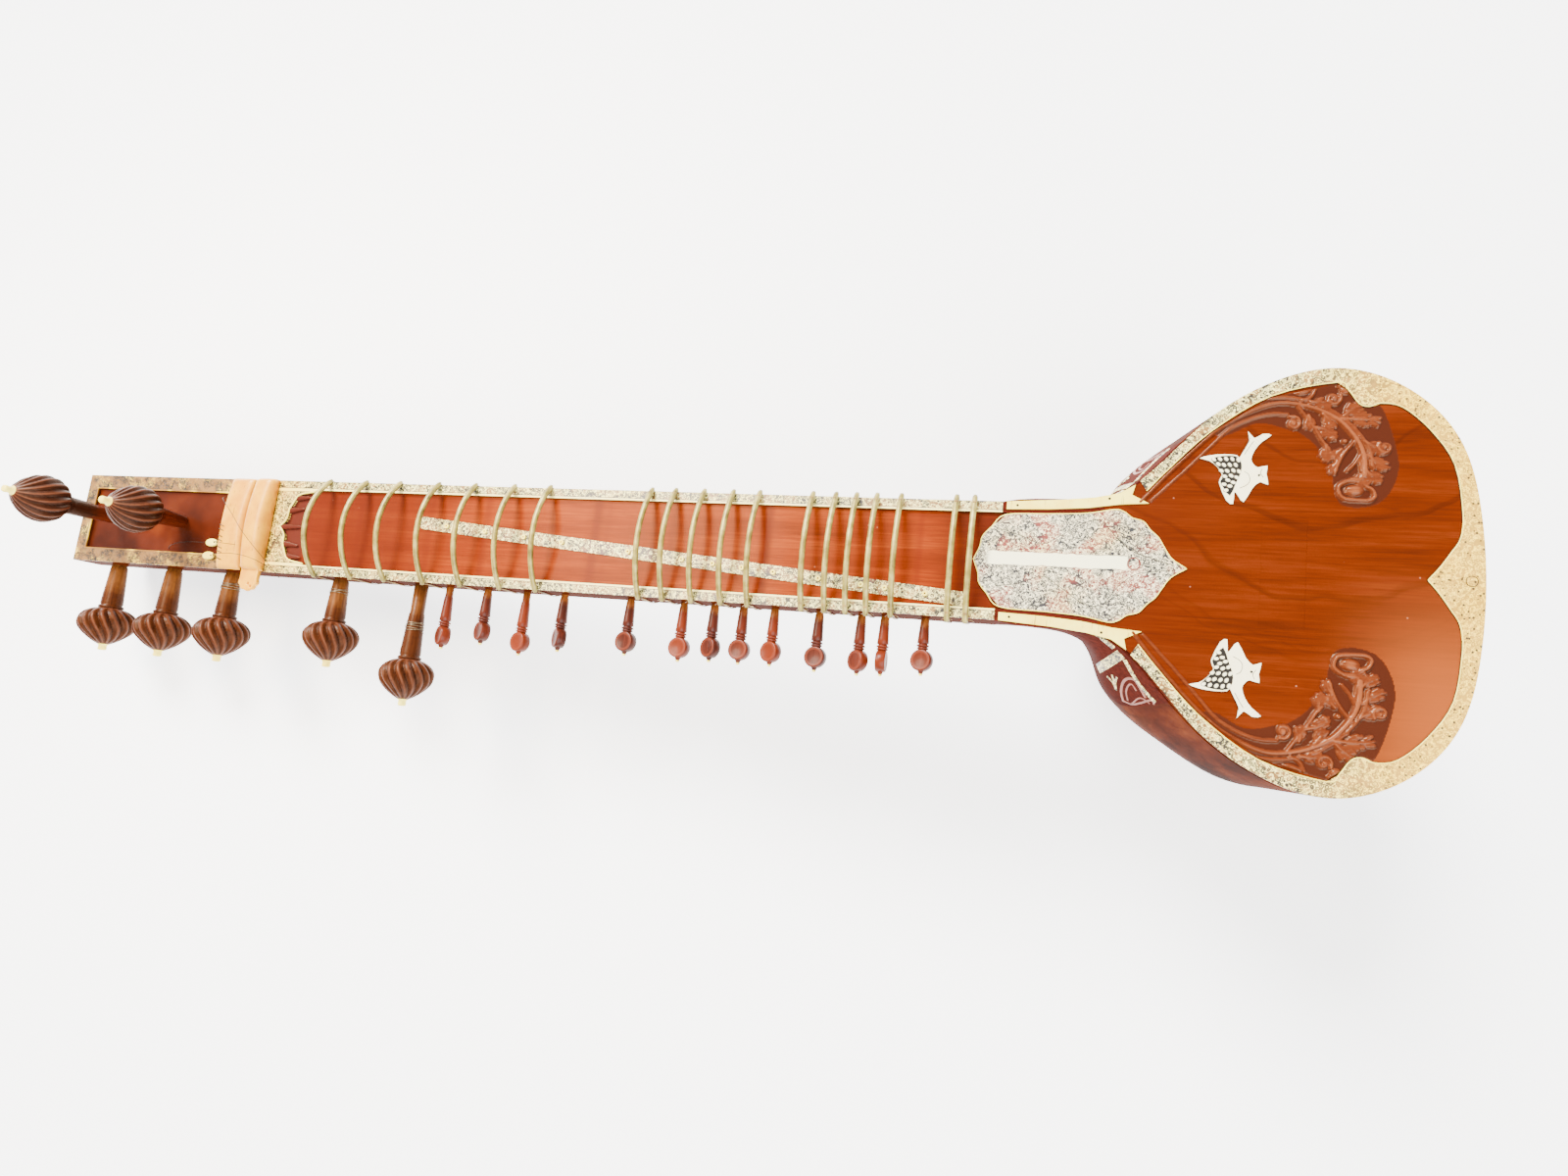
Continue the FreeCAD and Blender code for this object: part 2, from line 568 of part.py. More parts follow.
def make_small_peg(number, x, drawn_out, turn):
    """A sympathetic peg: thin shaft, turned collar, flattened round head and a bone bead."""
    name = "sympathetic_peg_%02d" % number
    body = new_body(name + "_wood")
    shaft, head = size("small_shaft"), size("small_head")
    centre = size("small_head_at") + drawn_out
    reach = size("small_reach")
    neck_r = 3.4
    base = centre - math.sqrt(head ** 2 - neck_r ** 2)
    crown = centre + math.sqrt(head ** 2 - 1.6 ** 2)
    section = sketch_on(body, name + "_section", "XZ_Plane")
    chain = [(0, -reach), (shaft, -reach), (shaft, 1.0 + max(drawn_out, 0)), (4.3, base - 9.0),
             (3.4, base - 4.2), (4.9, base - 3.4), (3.6, base - 2.4), (4.7, base - 1.2), (neck_r, base)]
    points = [Vector(r, z, 0) for r, z in chain]
    for a, b in zip(points, points[1:]):
        section.addGeometry(Part.LineSegment(a, b), False)
    ball = Part.Circle(Vector(0, centre, 0), Vector(0, 0, 1), head)
    start = ball.parameter(Vector(neck_r, base, 0))
    end = ball.parameter(Vector(1.6, crown, 0))
    if start > end:
        start -= 2 * math.pi
    section.addGeometry(Part.ArcOfCircle(ball, start, end), False)
    last = [Vector(1.6, crown, 0), Vector(0, crown, 0), points[0]]
    for a, b in zip(last, last[1:]):
        section.addGeometry(Part.LineSegment(a, b), False)
    doc.recompute()
    turned = feature(body, "Revolution", name + "_turned", section, Angle="360")
    turned.ReferenceAxis = (section, ["V_Axis"])
    doc.recompute()
    round_volume = body.Shape.Volume
    flats = sketch_on(body, name + "_flats", "XY_Plane", base + 0.5)
    flat = size("small_head_flat")
    for sign in (-1, 1):
        closed_path(flats, [(-12, sign * flat), (12, sign * flat), (12, sign * 12), (-12, sign * 12)])
    doc.recompute()
    feature(body, "Pocket", name + "_flat_cut", flats, Length="2 * sizes.small_head", Reversed=True)
    doc.recompute()
    if body.Shape.Volume > round_volume - 100:
        raise RuntimeError(name + " kept a round head")
    place = Placement(Vector(x, -neck_half(x), -size("main_peg_depth")), Rotation(Vector(1, 0, 0), 90))
    place = place.multiply(Placement(Vector(0, 0, 0), Rotation(Vector(0, 0, 1), turn)))
    body.Placement = place
    cap = bone_tip(name + "_bead", 1.5, crown, 3.0, place)
    node = doc.addObject("Part::Compound", name)
    node.Links = [body, cap]
    doc.recompute()
    finish(node, name)


# ---------------------------------------------------------------- bowl and soundboard

# Half outline of the face from the tail round to the neck.
FACE_HALF = [(0.0, 0.0), (-3.0, 50.0), (-17.0, 103.0), (-50.0, 139.0), (-93.0, 153.4), (-138.0, 142.5),
             (-180.0, 114.0), (-214.0, 77.0), (-238.0, 55.5), (-275.0, 49.5), (-325.0, 46.0)]
# The same points where the bowl is round, at its full size.
ROUND_HALF = [(3.0, 0.0), (-7.0, 56.6), (-35.9, 108.6), (-75.5, 140.0), (-122.0, 151.0), (-158.0, 142.0),
              (-192.0, 122.0), (-221.0, 101.0), (-239.0, 80.0), (-250.0, 53.0)]
BOWL_AXIS = -122.0
# Side of the boxes that cut the bowl, larger than the bowl itself.
ROOM = 500.0
# Level, how round the outline is, its size, and the heel: where it ends and its half width there.
BOWL_LEVELS = [
    (0.0, 0.0, 1.0, -325.0, 46.0), (22.0, 0.42, 1.0, -325.0, 45.9), (42.0, 0.74, 1.0, -325.0, 37.6),
    (56.0, 0.9, 1.0, -325.0, 15.5), (68.0, 0.96, 1.0, -317.0, 13.0), (92.0, 1.0, 0.985, -297.0, 14.0),
    (125.0, 1.0, 0.93, -277.0, 14.0), (160.0, 1.0, 0.82, -256.0, 13.0), (193.0, 1.0, 0.655, -228.5, 10.0),
    (220.0, 1.0, 0.455, -196.0, 7.0), (240.0, 1.0, 0.17, -149.8, 3.0),
]


def fine_levels():
    """The bowl's levels with smoothly interpolated ones between them."""
    rows = [BOWL_LEVELS[0]] + BOWL_LEVELS + [BOWL_LEVELS[-1]]
    fine = []
    for a, b, c, d in zip(rows, rows[1:], rows[2:], rows[3:]):
        for step in range(3):
            t = step / 3.0
            level = [0.5 * (2 * q + (r - p) * t + (2 * p - 5 * q + 4 * r - s) * t * t
                            + (3 * q - p - 3 * r + s) * t ** 3) for p, q, r, s in zip(a, b, c, d)]
            level[1] = min(level[1], 1.0)
            level[3] = max(level[3], size("neck_end"))
            fine.append(tuple(level))
    return fine + [BOWL_LEVELS[-1]]


def shared_parameters():
    """Chord lengths round the face's outline, used at every level so that the levels match."""
    full = [Vector(x, -y, 0) for x, y in reversed(FACE_HALF)] + [Vector(x, y, 0) for x, y in FACE_HALF[1:]]
    lengths = [0.0]
    for a, b in zip(full, full[1:]):
        lengths.append(lengths[-1] + (b - a).Length)
    return lengths


BOWL_PARAMETERS = shared_parameters()


def bowl_outline(level, inset):
    """The closed outline of the bowl at one level: one spline round the body and a short straight heel."""
    depth, roundness, scale, heel_x, heel_half = level
    shrink = 1 - inset / size("bowl_swell")
    points = []
    for (face_x, face_y), (round_x, round_y) in zip(FACE_HALF[:-1], ROUND_HALF):
        flat = 1 - roundness
        from_axis = flat * (face_x - BOWL_AXIS) + roundness * scale * (round_x - BOWL_AXIS)
        half = flat * face_y + roundness * scale * round_y
        points.append((BOWL_AXIS + shrink * from_axis, shrink * half))
    points.append((heel_x + inset, max(heel_half - inset, 2.4)))
    full = [(x, -y) for x, y in reversed(points)] + points[1:]
    z = -depth * size("bowl_deep") / 240.0
    ring = Part.BSplineCurve()
    ring.interpolate(Points=[Vector(x, y, z) for x, y in full], Parameters=BOWL_PARAMETERS)
    heel = points[-1]
    close = Part.LineSegment(Vector(heel[0], heel[1], z), Vector(heel[0], -heel[1], z))
    return Part.Wire([ring.toShape(), close.toShape()])


def bowl_solids():
    """The bowl as a shell, open at the top, split into the wooden cowl and the gourd."""
    wall, skin = size("bowl_wall"), size("skin")
    levels = fine_levels()
    outer = Part.makeLoft([bowl_outline(level, 0.0) for level in levels], True, True)
    inner_levels = []
    for depth, roundness, scale, heel_x, heel_half in levels:
        lowered = depth * (1 - wall / size("bowl_deep"))
        inner_levels.append((lowered, roundness, scale, heel_x, heel_half))
    inner = Part.makeLoft([bowl_outline(level, wall) for level in inner_levels], True, True)
    top = -skin - size("board_body")
    cover = Part.makeBox(2 * ROOM, ROOM, ROOM, Vector(-ROOM, -ROOM / 2, top))
    shell = outer.cut(inner).cut(cover)
    floor = Part.makeBox(4 * ROOM, 2 * ROOM, ROOM, Vector(-2 * ROOM, -ROOM, -ROOM))
    floor.Placement = LYING.inverse()
    shell = shell.cut(floor)
    split = Part.makeBox(ROOM, ROOM, 2 * ROOM, Vector(-ROOM, -ROOM / 2, -ROOM))
    split.Placement = Placement(Vector(size("cowl_end"), 0, 0), Rotation(Vector(0, 1, 0), size("cowl_lean")))
    return outer, shell.common(split), shell.cut(split)


def part_feature(name, shape):
    """A finished sub-part whose shape comes from Part's own functions."""
    obj = doc.addObject("Part::Feature", name)
    obj.Shape = shape
    finish(obj, name)
    return obj


def biggest(shape):
    return max(shape.Solids, key=lambda s: s.Volume)


def make_bowl():
    """The gourd bowl, and the wooden cowl that joins it to the neck and carries the boards' ends."""
    outer, cowl, gourd = bowl_solids()
    lid_len = size("board_start") - size("neck_end")
    low = size("recess") + size("board_thick")
    deep = size("lid_deep")
    lid = Part.makeBox(lid_len, ROOM, deep - size("skin"), Vector(size("neck_end"), -ROOM / 2, -deep))
    shoulder = outer.common(lid)
    half = neck_half(size("neck_end")) - size("rail_wide")
    narrow = half - size("ledge")
    over = 20.0
    start, length = size("neck_end") - over, lid_len + 2 * over
    channel = Part.makeBox(length, 2 * half, deep, Vector(start, -half, -low))
    below = Part.makeBox(length, 2 * narrow, 2 * deep, Vector(start, -narrow, -1.5 * deep))
    cowl = cowl.fuse(shoulder.cut(below)).cut(channel).removeSplitter()
    part_feature("cowl", biggest(cowl))
    part_feature("gourd", biggest(gourd))
    return outer


def face_curve(points, lead):
    """Spline through a half outline and its mirror image, closed by a straight line at the neck end."""
    half = [(x, y) for x, y in points if y > 0]
    full = [(x, -y) for x, y in reversed(half)] + [(lead, 0.0)] + half
    return spline(full)


def face_half():
    """The face outline as far as the soundboard's straight end at the neck."""
    end = size("board_start")
    kept = [p for p in FACE_HALF[1:] if p[0] > end]
    return kept + [(end, 52.8)]


def make_soundboard():
    """The wooden face, with the shallow flat seat planed for the bridge."""
    points = face_half()
    ring = face_curve(points, 0.0)
    end = points[-1]
    line = Part.LineSegment(Vector(end[0], end[1], 0), Vector(end[0], -end[1], 0))
    body = plate("soundboard", [ring, line], -size("skin") - size("board_body"), -size("skin"))
    seat = sketch_on(body, "bridge_seat", "XY_Plane", -size("skin"))
    bound_rectangle(seat, "sizes.seat_at - sizes.seat_long / 2", "sizes.seat_at + sizes.seat_long / 2",
                    "-sizes.seat_wide / 2", "sizes.seat_wide / 2")
    doc.recompute()
    feature(body, "Pocket", "seat_cut", seat, Length="sizes.seat_deep")
    doc.recompute()
    finish(body, "soundboard")


# Pieces of carving below this volume are chips.
SMALLEST_CARVING = 500.0
# Inner edge of the rim, half outline from the tail's ogee tip round to the neck.
RIM_INNER = [[(-35.0, 0.0), (-28.0, 9.0), (-21.0, 20.0), (-15.5, 30.0)],
             [(-15.5, 30.0), (-14.0, 47.0), (-19.0, 82.0), (-34.0, 107.0), (-52.0, 124.0), (-66.0, 127.0)],
             [(-66.0, 127.0), (-73.0, 124.5), (-80.0, 126.5)],
             [(-80.0, 126.5), (-87.0, 136.5), (-95.0, 142.5)],
             [(-95.0, 142.5), (-138.0, 132.0), (-178.0, 104.5), (-207.0, 74.0), (-221.0, 57.5)]]


def make_rim():
    """The ivory-coloured rim of the face, with an ogee at the tail and cusps on both shoulders."""
    half = [p for p in FACE_HALF[1:] if p[0] > -220.0] + [(-226.0, 65.3)]
    ring = face_curve(half, 0.0)
    curves = [ring]
    for sign in (-1, 1):
        for run in RIM_INNER:
            points = [(x, sign * y) for x, y in run]
            curves.append(spline(points))
        a, b = half[-1], RIM_INNER[-1][-1]
        curves.append(Part.LineSegment(Vector(a[0], sign * a[1], 0), Vector(b[0], sign * b[1], 0)))
    finish(plate("face_rim", curves, -size("skin"), 0.0), "face_rim")


def make_joint_plate():
    """The engraved sheet with cusped ogee ends over the joint of neck and face, thick over the recess."""
    near = [(-344.0, 0.0), (-340.0, 10.0), (-338.5, 18.0), (-332.0, 26.0), (-322.0, 35.8)]
    side = [(-322.0, 35.8), (-290.0, 37.4), (-262.0, 39.0), (-243.0, 42.5)]
    lobes = [[(-243.0, 42.5), (-236.0, 41.0), (-230.0, 36.6)],
             [(-230.0, 36.6), (-222.0, 34.0), (-216.5, 27.5)],
             [(-216.5, 27.5), (-211.0, 22.5), (-207.0, 16.0)],
             [(-207.0, 16.0), (-201.0, 7.0), (-190.5, 0.0)]]
    curves = []
    for sign in (-1, 1):
        for run in [near, side] + lobes:
            curves.append(spline([(x, sign * y) for x, y in run]))
    body = plate("joint_plate", curves, -size("recess"), 0.0)
    step = sketch_on(body, "joint_plate_step", "XY_Plane", -size("recess"))
    bound_rectangle(step, "sizes.board_start", "-150", "-60", "60")
    channel = "(sizes.neck_half_tail - sizes.rail_wide)"
    bound_rectangle(step, "-330", "sizes.board_start", channel, "60")
    bound_rectangle(step, "-330", "sizes.board_start", "-60", "-" + channel)
    doc.recompute()
    feature(body, "Pocket", "joint_plate_step_cut", step, Length="sizes.recess - sizes.skin", Reversed=True)
    doc.recompute()
    finish(body, "joint_plate")


def make_edge_strips():
    """The two plain strips with forked ends that run from the rails on to the face."""
    top = [(-322.0, 46.1), (-282.0, 48.6), (-258.0, 51.2), (-240.0, 55.0), (-229.0, 62.0)]
    fork = [(-231.0, 54.0), (-219.0, 48.0), (-240.0, 46.4), (-262.0, 43.0), (-290.0, 41.0), (-322.0, 40.0)]
    strips = []
    for tag, sign in (("upper", 1), ("lower", -1)):
        body = new_body("edge_strip_" + tag)
        sketch = sketch_on(body, "edge_strip_plan_" + tag, "XY_Plane", -size("skin"))
        closed_path(sketch, [(x, sign * y) for x, y in top + fork])
        doc.recompute()
        feature(body, "Pad", "edge_strip_pad_" + tag, sketch, Length="1.4 * sizes.skin")
        strips.append(body)
    doc.recompute()
    group = doc.addObject("Part::Compound", "neck_edge_strips")
    group.Links = strips
    doc.recompute()
    finish(group, "neck_edge_strips")


def clear_of_rim(group):
    """The carvings without what would lie under the rim, and without the chips that this leaves."""
    rim = doc.getObject("face_rim").Shape.copy().transformed(LYING.inverse().toMatrix())
    trimmed = doc.addObject("Part::Feature", group.Name + "_trimmed")
    kept = [s for s in group.Shape.cut(rim).Solids if s.Volume > SMALLEST_CARVING]
    trimmed.Shape = Part.makeCompound(kept)
    return trimmed


def make_inlays():
    """The two birds, the carved foliage on both shoulders, and the diagonal strip with its eyelets."""
    bird = [(-185.5, 83.5), (-178.0, 86.0), (-168.5, 87.0), (-160.0, 86.5), (-158.0, 84.5), (-155.5, 90.5),
            (-152.0, 97.0), (-153.0, 105.0), (-148.5, 99.5), (-143.0, 103.0), (-137.0, 102.0),
            (-143.5, 96.5),
            (-148.0, 90.0), (-150.0, 83.5), (-145.5, 77.5), (-139.0, 79.0), (-139.5, 73.0), (-138.0, 64.5),
            (-143.5, 66.5), (-148.5, 61.5), (-154.0, 51.0), (-160.5, 58.5), (-161.0, 49.5), (-166.0, 52.0),
            (-171.5, 65.5), (-169.5, 71.0), (-173.0, 77.0), (-178.5, 81.5)]
    sprig = [(-168.0, 115.0), (-140.0, 131.0), (-108.0, 139.0), (-94.0, 141.0), (-80.0, 125.5),
             (-68.0, 124.0), (-58.0, 104.0), (-55.0, 84.0), (-62.0, 68.0), (-80.0, 60.0),
             (-94.0, 68.0), (-100.0, 86.0), (-108.0, 106.0), (-128.0, 116.0), (-150.0, 117.0)]
    for name, outline, rise in (("bird_inlays", bird, "skin"), ("face_carvings", sprig, "carving_rise")):
        pair = []
        for tag, sign in (("upper", 1), ("lower", -1)):
            body = new_body("%s_%s" % (name, tag))
            sketch = sketch_on(body, "%s_plan_%s" % (name, tag), "XY_Plane", -size("skin"))
            closed_path(sketch, [(x, sign * y) for x, y in outline])
            doc.recompute()
            feature(body, "Pad", "%s_pad_%s" % (name, tag), sketch, Length="sizes." + rise)
            pair.append(body)
        doc.recompute()
        group = doc.addObject("Part::Compound", name)
        group.Links = pair
        doc.recompute()
        if name == "face_carvings":
            group = clear_of_rim(group)
        finish(group, name)


STRIP_START, STRIP_END = (-836.0, 9.6), (-346.0, -31.5)


def strip_y(x):
    """Centre line of the diagonal strip."""
    share = (x - STRIP_START[0]) / (STRIP_END[0] - STRIP_START[0])
    return STRIP_START[1] + share * (STRIP_END[1] - STRIP_START[1])


def make_sympathetic_strip():
    """The diagonal strip on the fingerboard and the eyelets that let the sympathetic strings through."""
    low = -size("recess")
    half = size("strip_half")
    body = new_body("sympathetic_strip")
    sketch = sketch_on(body, "strip_plan", "XY_Plane", low)
    outline = [(STRIP_START[0], STRIP_START[1] - half), (STRIP_END[0], STRIP_END[1] - half),
               (STRIP_END[0], STRIP_END[1] + half), (STRIP_START[0], STRIP_START[1] + half),
               (STRIP_START[0] - 5.0, STRIP_START[1])]
    closed_path(sketch, outline)
    doc.recompute()
    feature(body, "Pad", "strip_pad", sketch, Length="sizes.skin")
    doc.recompute()
    finish(body, "sympathetic_strip")

    rings = []
    for x, _, _ in SMALL_PEGS:
        foot = Vector(x, strip_y(x), low + size("skin"))
        ring = Part.makeCylinder(size("eyelet"), size("eyelet_rise"), foot)
        rings.append(ring.cut(Part.makeCylinder(size("string_hole"), 2 * size("eyelet_rise"), foot)))
    part_feature("sympathetic_eyelets", Part.makeCompound(rings))


def make_tailpiece(outer):
    """The keel at the tail with the post that the main strings are looped on."""
    wide, high, front = size("keel_wide"), size("keel_high"), size("keel_front")
    low = -size("post_depth") - high / 2
    keel = Part.makeBox(front + 10, wide, high, Vector(-10, -wide / 2, low))
    keel = keel.makeFillet(6.0, [e for e in keel.Edges if e.CenterOfMass.x > front - 0.1])
    post_foot = Vector(front - 3, 0, -size("post_depth"))
    post = Part.makeCylinder(size("post_radius"), size("post_len") + 3, post_foot, Vector(1, 0, 0))
    keel = keel.cut(outer).fuse(post).removeSplitter()
    part_feature("tailpiece", biggest(keel))


# ---------------------------------------------------------------- broken strings

# Routes of the broken strings: over the nut, through the first bead, through the second bead, off the head.
WIRE_NAMES = ["loose_string_1", "loose_string_2", "loose_string_3"]
WIRE_ROUTES = [
    [(-1050.5, 26.0, -2.5), (-1051.0, 25.0, 4.5), (-1043.0, 20.5, 12.5), (-1026.0, 8.0, 15.5),
     (-1008.0, -10.0, 17.0), (-991.0, -26.5, 14.0), (-979.0, -39.5, 8.5), (-972.0, -49.5, 3.5)],
    [(-1113.5, -27.0, -2.5), (-1108.0, -25.8, 2.5), (-1096.5, -22.4, 5.0), (-1083.5, -20.2, 4.2),
     (-1071.0, -19.1, -0.7), (-1053.0, -18.6, -0.8), (-1050.0, -19.0, 9.6), (-1031.5, -22.0, 13.0),
     (-1018.5, -22.3, 11.5)],
    [(-1074.5, -33.6, 0.0), (-1067.5, -32.4, 1.9), (-1050.5, -31.8, 2.3), (-1048.0, -31.7, 8.6),
     (-1029.0, -31.0, 12.5), (-1013.5, -31.3, 14.5), (-997.5, -33.4, 15.0), (-985.0, -38.0, 10.5),
     (-975.5, -45.5, 4.0)],
]


def wire_path(points):
    """Straight runs joined by the largest tangent arcs that the runs allow."""
    pts = [Vector(*p) for p in points]
    edges, radii, start = [], [], pts[0]
    for a, b, c in zip(pts, pts[1:], pts[2:]):
        back, ahead = (a - b), (c - b)
        turn = math.pi - back.getAngle(ahead)
        shorter = min(back.Length, ahead.Length)
        back.normalize()
        ahead.normalize()
        trim = 0.45 * shorter
        radius = trim / math.tan(turn / 2)
        radii.append(round(radius, 1))
        enter, leave = b + back * trim, b + ahead * trim
        middle = back + ahead
        middle.normalize()
        top = b + middle * (radius / math.cos(turn / 2) - radius)
        edges += [Part.LineSegment(start, enter).toShape(), Part.Arc(enter, top, leave).toShape()]
        start = leave
    edges.append(Part.LineSegment(start, pts[-1]).toShape())
    return Part.Wire(edges), radii


def make_loose_strings():
    """Broken strings that lie over the nut, as tubes along runs and arcs, with their two tuning beads."""
    for name, route in zip(WIRE_NAMES, WIRE_ROUTES):
        path, radii = wire_path(route)
        first = Vector(*route[1]) - Vector(*route[0])
        ring = Part.Wire(Part.makeCircle(size("wire") / 2, Vector(*route[0]), first))
        tube = path.makePipeShell([ring], True, True)
        whole = math.pi * (size("wire") / 2) ** 2 * path.Length
        print(name, "length", round(path.Length, 1), "radii", radii, "volume", round(tube.Volume / whole, 3))
        part_feature(name, tube)


def make_beads():
    """Flat oval bone beads, each threaded on a broken string."""
    long_half, wide_half, thick_half = size("bead_long") / 2, size("bead_wide") / 2, size("bead_thick") / 2
    beads = []
    for route, run in zip(WIRE_ROUTES[1:], (4, 1)):
        along = Vector(*route[run + 1]) - Vector(*route[run])
        middle = (Vector(*route[run + 1]) + Vector(*route[run])) / 2
        oval = Part.Wire([Part.Ellipse(Vector(0, 0, -thick_half), long_half, wide_half).toShape()])
        bead = Part.Face(oval).extrude(Vector(0, 0, 2 * thick_half))
        rims = [e for e in bead.Edges if abs(e.CenterOfMass.z) > 0.9 * thick_half]
        bead = bead.makeFillet(size("bead_round"), rims)
        bore = Part.makeCylinder(size("wire") / 2 + 0.25, 3 * long_half, Vector(-1.5 * long_half, 0, 0),
                                 Vector(1, 0, 0))
        bead = bead.cut(bore)
        bead.Placement = Placement(middle, Rotation(Vector(1, 0, 0), along))
        beads.append(bead)
    part_feature("tuning_beads", Part.makeCompound(beads))


def check_and_export():
    """Stops on a failed object, then writes one STEP file for each sub-part."""
    doc.recompute()
    failed = [o.Name for o in doc.Objects if "Invalid" in o.State or "Error" in o.State]
    if failed:
        raise RuntimeError("failed objects: %s" % failed)
    os.makedirs("parts", exist_ok=True)
    for old in os.listdir("parts"):
        os.remove(os.path.join("parts", old))
    box = FreeCAD.BoundBox()
    for name, obj in finished.items():
        shape = obj.Shape
        if shape.isNull() or not shape.isValid() or not shape.Solids:
            raise RuntimeError("bad shape: " + name)
        shape.exportStep("parts/%s.step" % name)
        box.add(shape.BoundBox)
    print(len(finished), "nodes", box)


make_neck_shell()
make_boards()
make_neck_bindings()
make_nut_and_guide()
for fret in range(1, len(FRET_PLACES) + 1):
    make_fret(fret)
for index, (x, out) in enumerate(SIDE_PEGS, start=1):
    side = Placement(Vector(x, -neck_half(x), -size("main_peg_depth")), Rotation(Vector(1, 0, 0), 90))
    make_main_peg("side_peg_%d" % index, side, out, SIDE_PEG_REACH)
for index, (x, out) in enumerate(FRONT_PEGS, start=1):
    front = Placement(Vector(x, 0, -size("recess")), Rotation())
    make_main_peg("front_peg_%d" % index, front, out, FRONT_PEG_REACH + out)
for index, (x, out, turn) in enumerate(SMALL_PEGS, start=1):
    make_small_peg(index, x, out, turn)
bowl_outer = make_bowl()
make_soundboard()
make_rim()
make_joint_plate()
make_edge_strips()
make_inlays()
make_sympathetic_strip()
make_tailpiece(bowl_outer)
make_loose_strings()
make_beads()
check_and_export()
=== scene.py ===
import json
import math
import random

import bmesh
import bpy
import numpy as np
from mathutils import Matrix, Vector
from mathutils.bvhtree import BVHTree


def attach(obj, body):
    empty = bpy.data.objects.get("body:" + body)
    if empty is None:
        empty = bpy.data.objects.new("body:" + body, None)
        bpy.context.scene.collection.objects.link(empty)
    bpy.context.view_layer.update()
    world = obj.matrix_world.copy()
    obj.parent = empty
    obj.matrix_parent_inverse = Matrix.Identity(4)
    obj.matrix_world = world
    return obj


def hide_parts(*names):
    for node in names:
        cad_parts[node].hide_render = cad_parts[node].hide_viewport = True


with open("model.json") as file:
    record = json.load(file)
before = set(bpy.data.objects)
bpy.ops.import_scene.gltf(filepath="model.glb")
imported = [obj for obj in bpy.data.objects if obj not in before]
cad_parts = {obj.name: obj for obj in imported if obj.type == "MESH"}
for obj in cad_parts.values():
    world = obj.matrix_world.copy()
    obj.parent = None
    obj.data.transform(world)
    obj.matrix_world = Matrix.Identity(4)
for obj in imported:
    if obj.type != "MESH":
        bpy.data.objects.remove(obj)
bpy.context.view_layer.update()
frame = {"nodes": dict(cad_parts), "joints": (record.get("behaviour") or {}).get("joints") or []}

# ---------------------------------------------------------------- the instrument's own frame
# Pieces are drawn in the instrument's frame, in millimetres: X along the neck from the head to the tail end
# of the face (x = 0), Y across it with the pegs on the negative side, Z out of the face. The frame's joints
# say where that frame lies in the row's frame.
JOINTS = {j["name"]: j for j in frame["joints"]}
NECK_END, TOTAL_LEN = -325.0, 1225.0
NECK_HALF_TAIL, NECK_HALF_HEAD = 46.0, 43.3
NECK_SLOPE = (NECK_HALF_TAIL - NECK_HALF_HEAD) / (TOTAL_LEN + NECK_END)
# Widths of the rails and of the head frame's sides and end, depth of the head panel, thickness of the sheets.
RAIL, HEAD_WALL, HEAD_CAP, RECESS, SKIN = 8.5, 13.5, 12.0, 2.5, 0.8
# Depth of the neck's straight sides and of the round back under them, and of the side pegs' axes.
NECK_SIDE, NECK_ROUND, PEG_DEPTH = 20.0, 38.0, 17.0
# Places along the neck; pegs also say how far they are pulled out, small ones their turn in degrees.
FRET_PLACES = [
    -939, -900, -864, -823.5, -786, -747, -712, -616.5, -595, -569.5, -544, -521, -476, -457, -440, -423.5,
    -404, -360.5, -346.5,
]
SIDE_PEGS = [(-1191, 1), (-1122, 2), (-1051, 1.5), (-927, -3), (-840, 25)]
FRONT_PEGS = [(-1179, 3.5), (-1103, -18)]
SMALL_PEGS = [
    (-810, 8, 30), (-771, 1.5, 28), (-732, 8, 15), (-695, 2, 40), (-632, 0.5, 8), (-583, 2, 5),
    (-555.5, 0, 25), (-530, 0, 5), (-503, -0.5, 20), (-465, 1, 6), (-430, 1, 35), (-411, 0, 88),
    (-379, -3, 14),
]
MM = 0.001


def neck_half(x):
    """Half width of the neck at x."""
    return NECK_HALF_TAIL + NECK_SLOPE * (x - NECK_END)


def instrument_matrix():
    """From the instrument's frame in millimetres to the row's frame in metres."""
    along = Vector(JOINTS["fret_01_slide"]["axis"]).normalized()
    across = Vector((0, 1, 0))
    out = along.cross(across)
    turn = Matrix((along, across, out)).transposed()
    first_x = SIDE_PEGS[0][0]
    known = Vector((first_x, -neck_half(first_x), -PEG_DEPTH)) * MM
    shift = Vector(JOINTS["side_peg_1_turn"]["pos_m"]) - turn @ known
    return Matrix.Translation(shift) @ turn.to_4x4() @ Matrix.Scale(MM, 4)


TO_ROW = instrument_matrix()
FROM_ROW = TO_ROW.inverted()


def row(point):
    """A point of the instrument's frame in the row's frame."""
    return TO_ROW @ Vector(point)


def add_object(name, data):
    """A new object of the scene that shows the data."""
    obj = bpy.data.objects.new(name, data)
    bpy.context.scene.collection.objects.link(obj)
    return obj


# ---------------------------------------------------------------- camera, floor and light

LENS_SHARE = 760.0 / 1600.0
LENS_SHIFT = (-0.0610, 0.0430)
CAMERA_TURN = Vector((0.125471, 0.190890, 0.085218))
CAMERA_PLACE = Vector((-298.27, -145.59, 556.17))
FLOOR_HALF = 8.0
# Suns: name, power, spread, direction towards them, colour.
SUNS = [("key", 12.0, 0.45, (-0.35, 0.75, 0.75), (1.0, 0.985, 0.96)),
        ("fill", 6.8, 1.0, (0.5, -0.7, 0.8), (0.97, 0.98, 1.0))]
# Where the soft box stands and the spot on the neck that it shines at.
SOFT_BOX, LIT = (-1060.0, 220.0, 860.0), (-600.0, 0.0, 0.0)


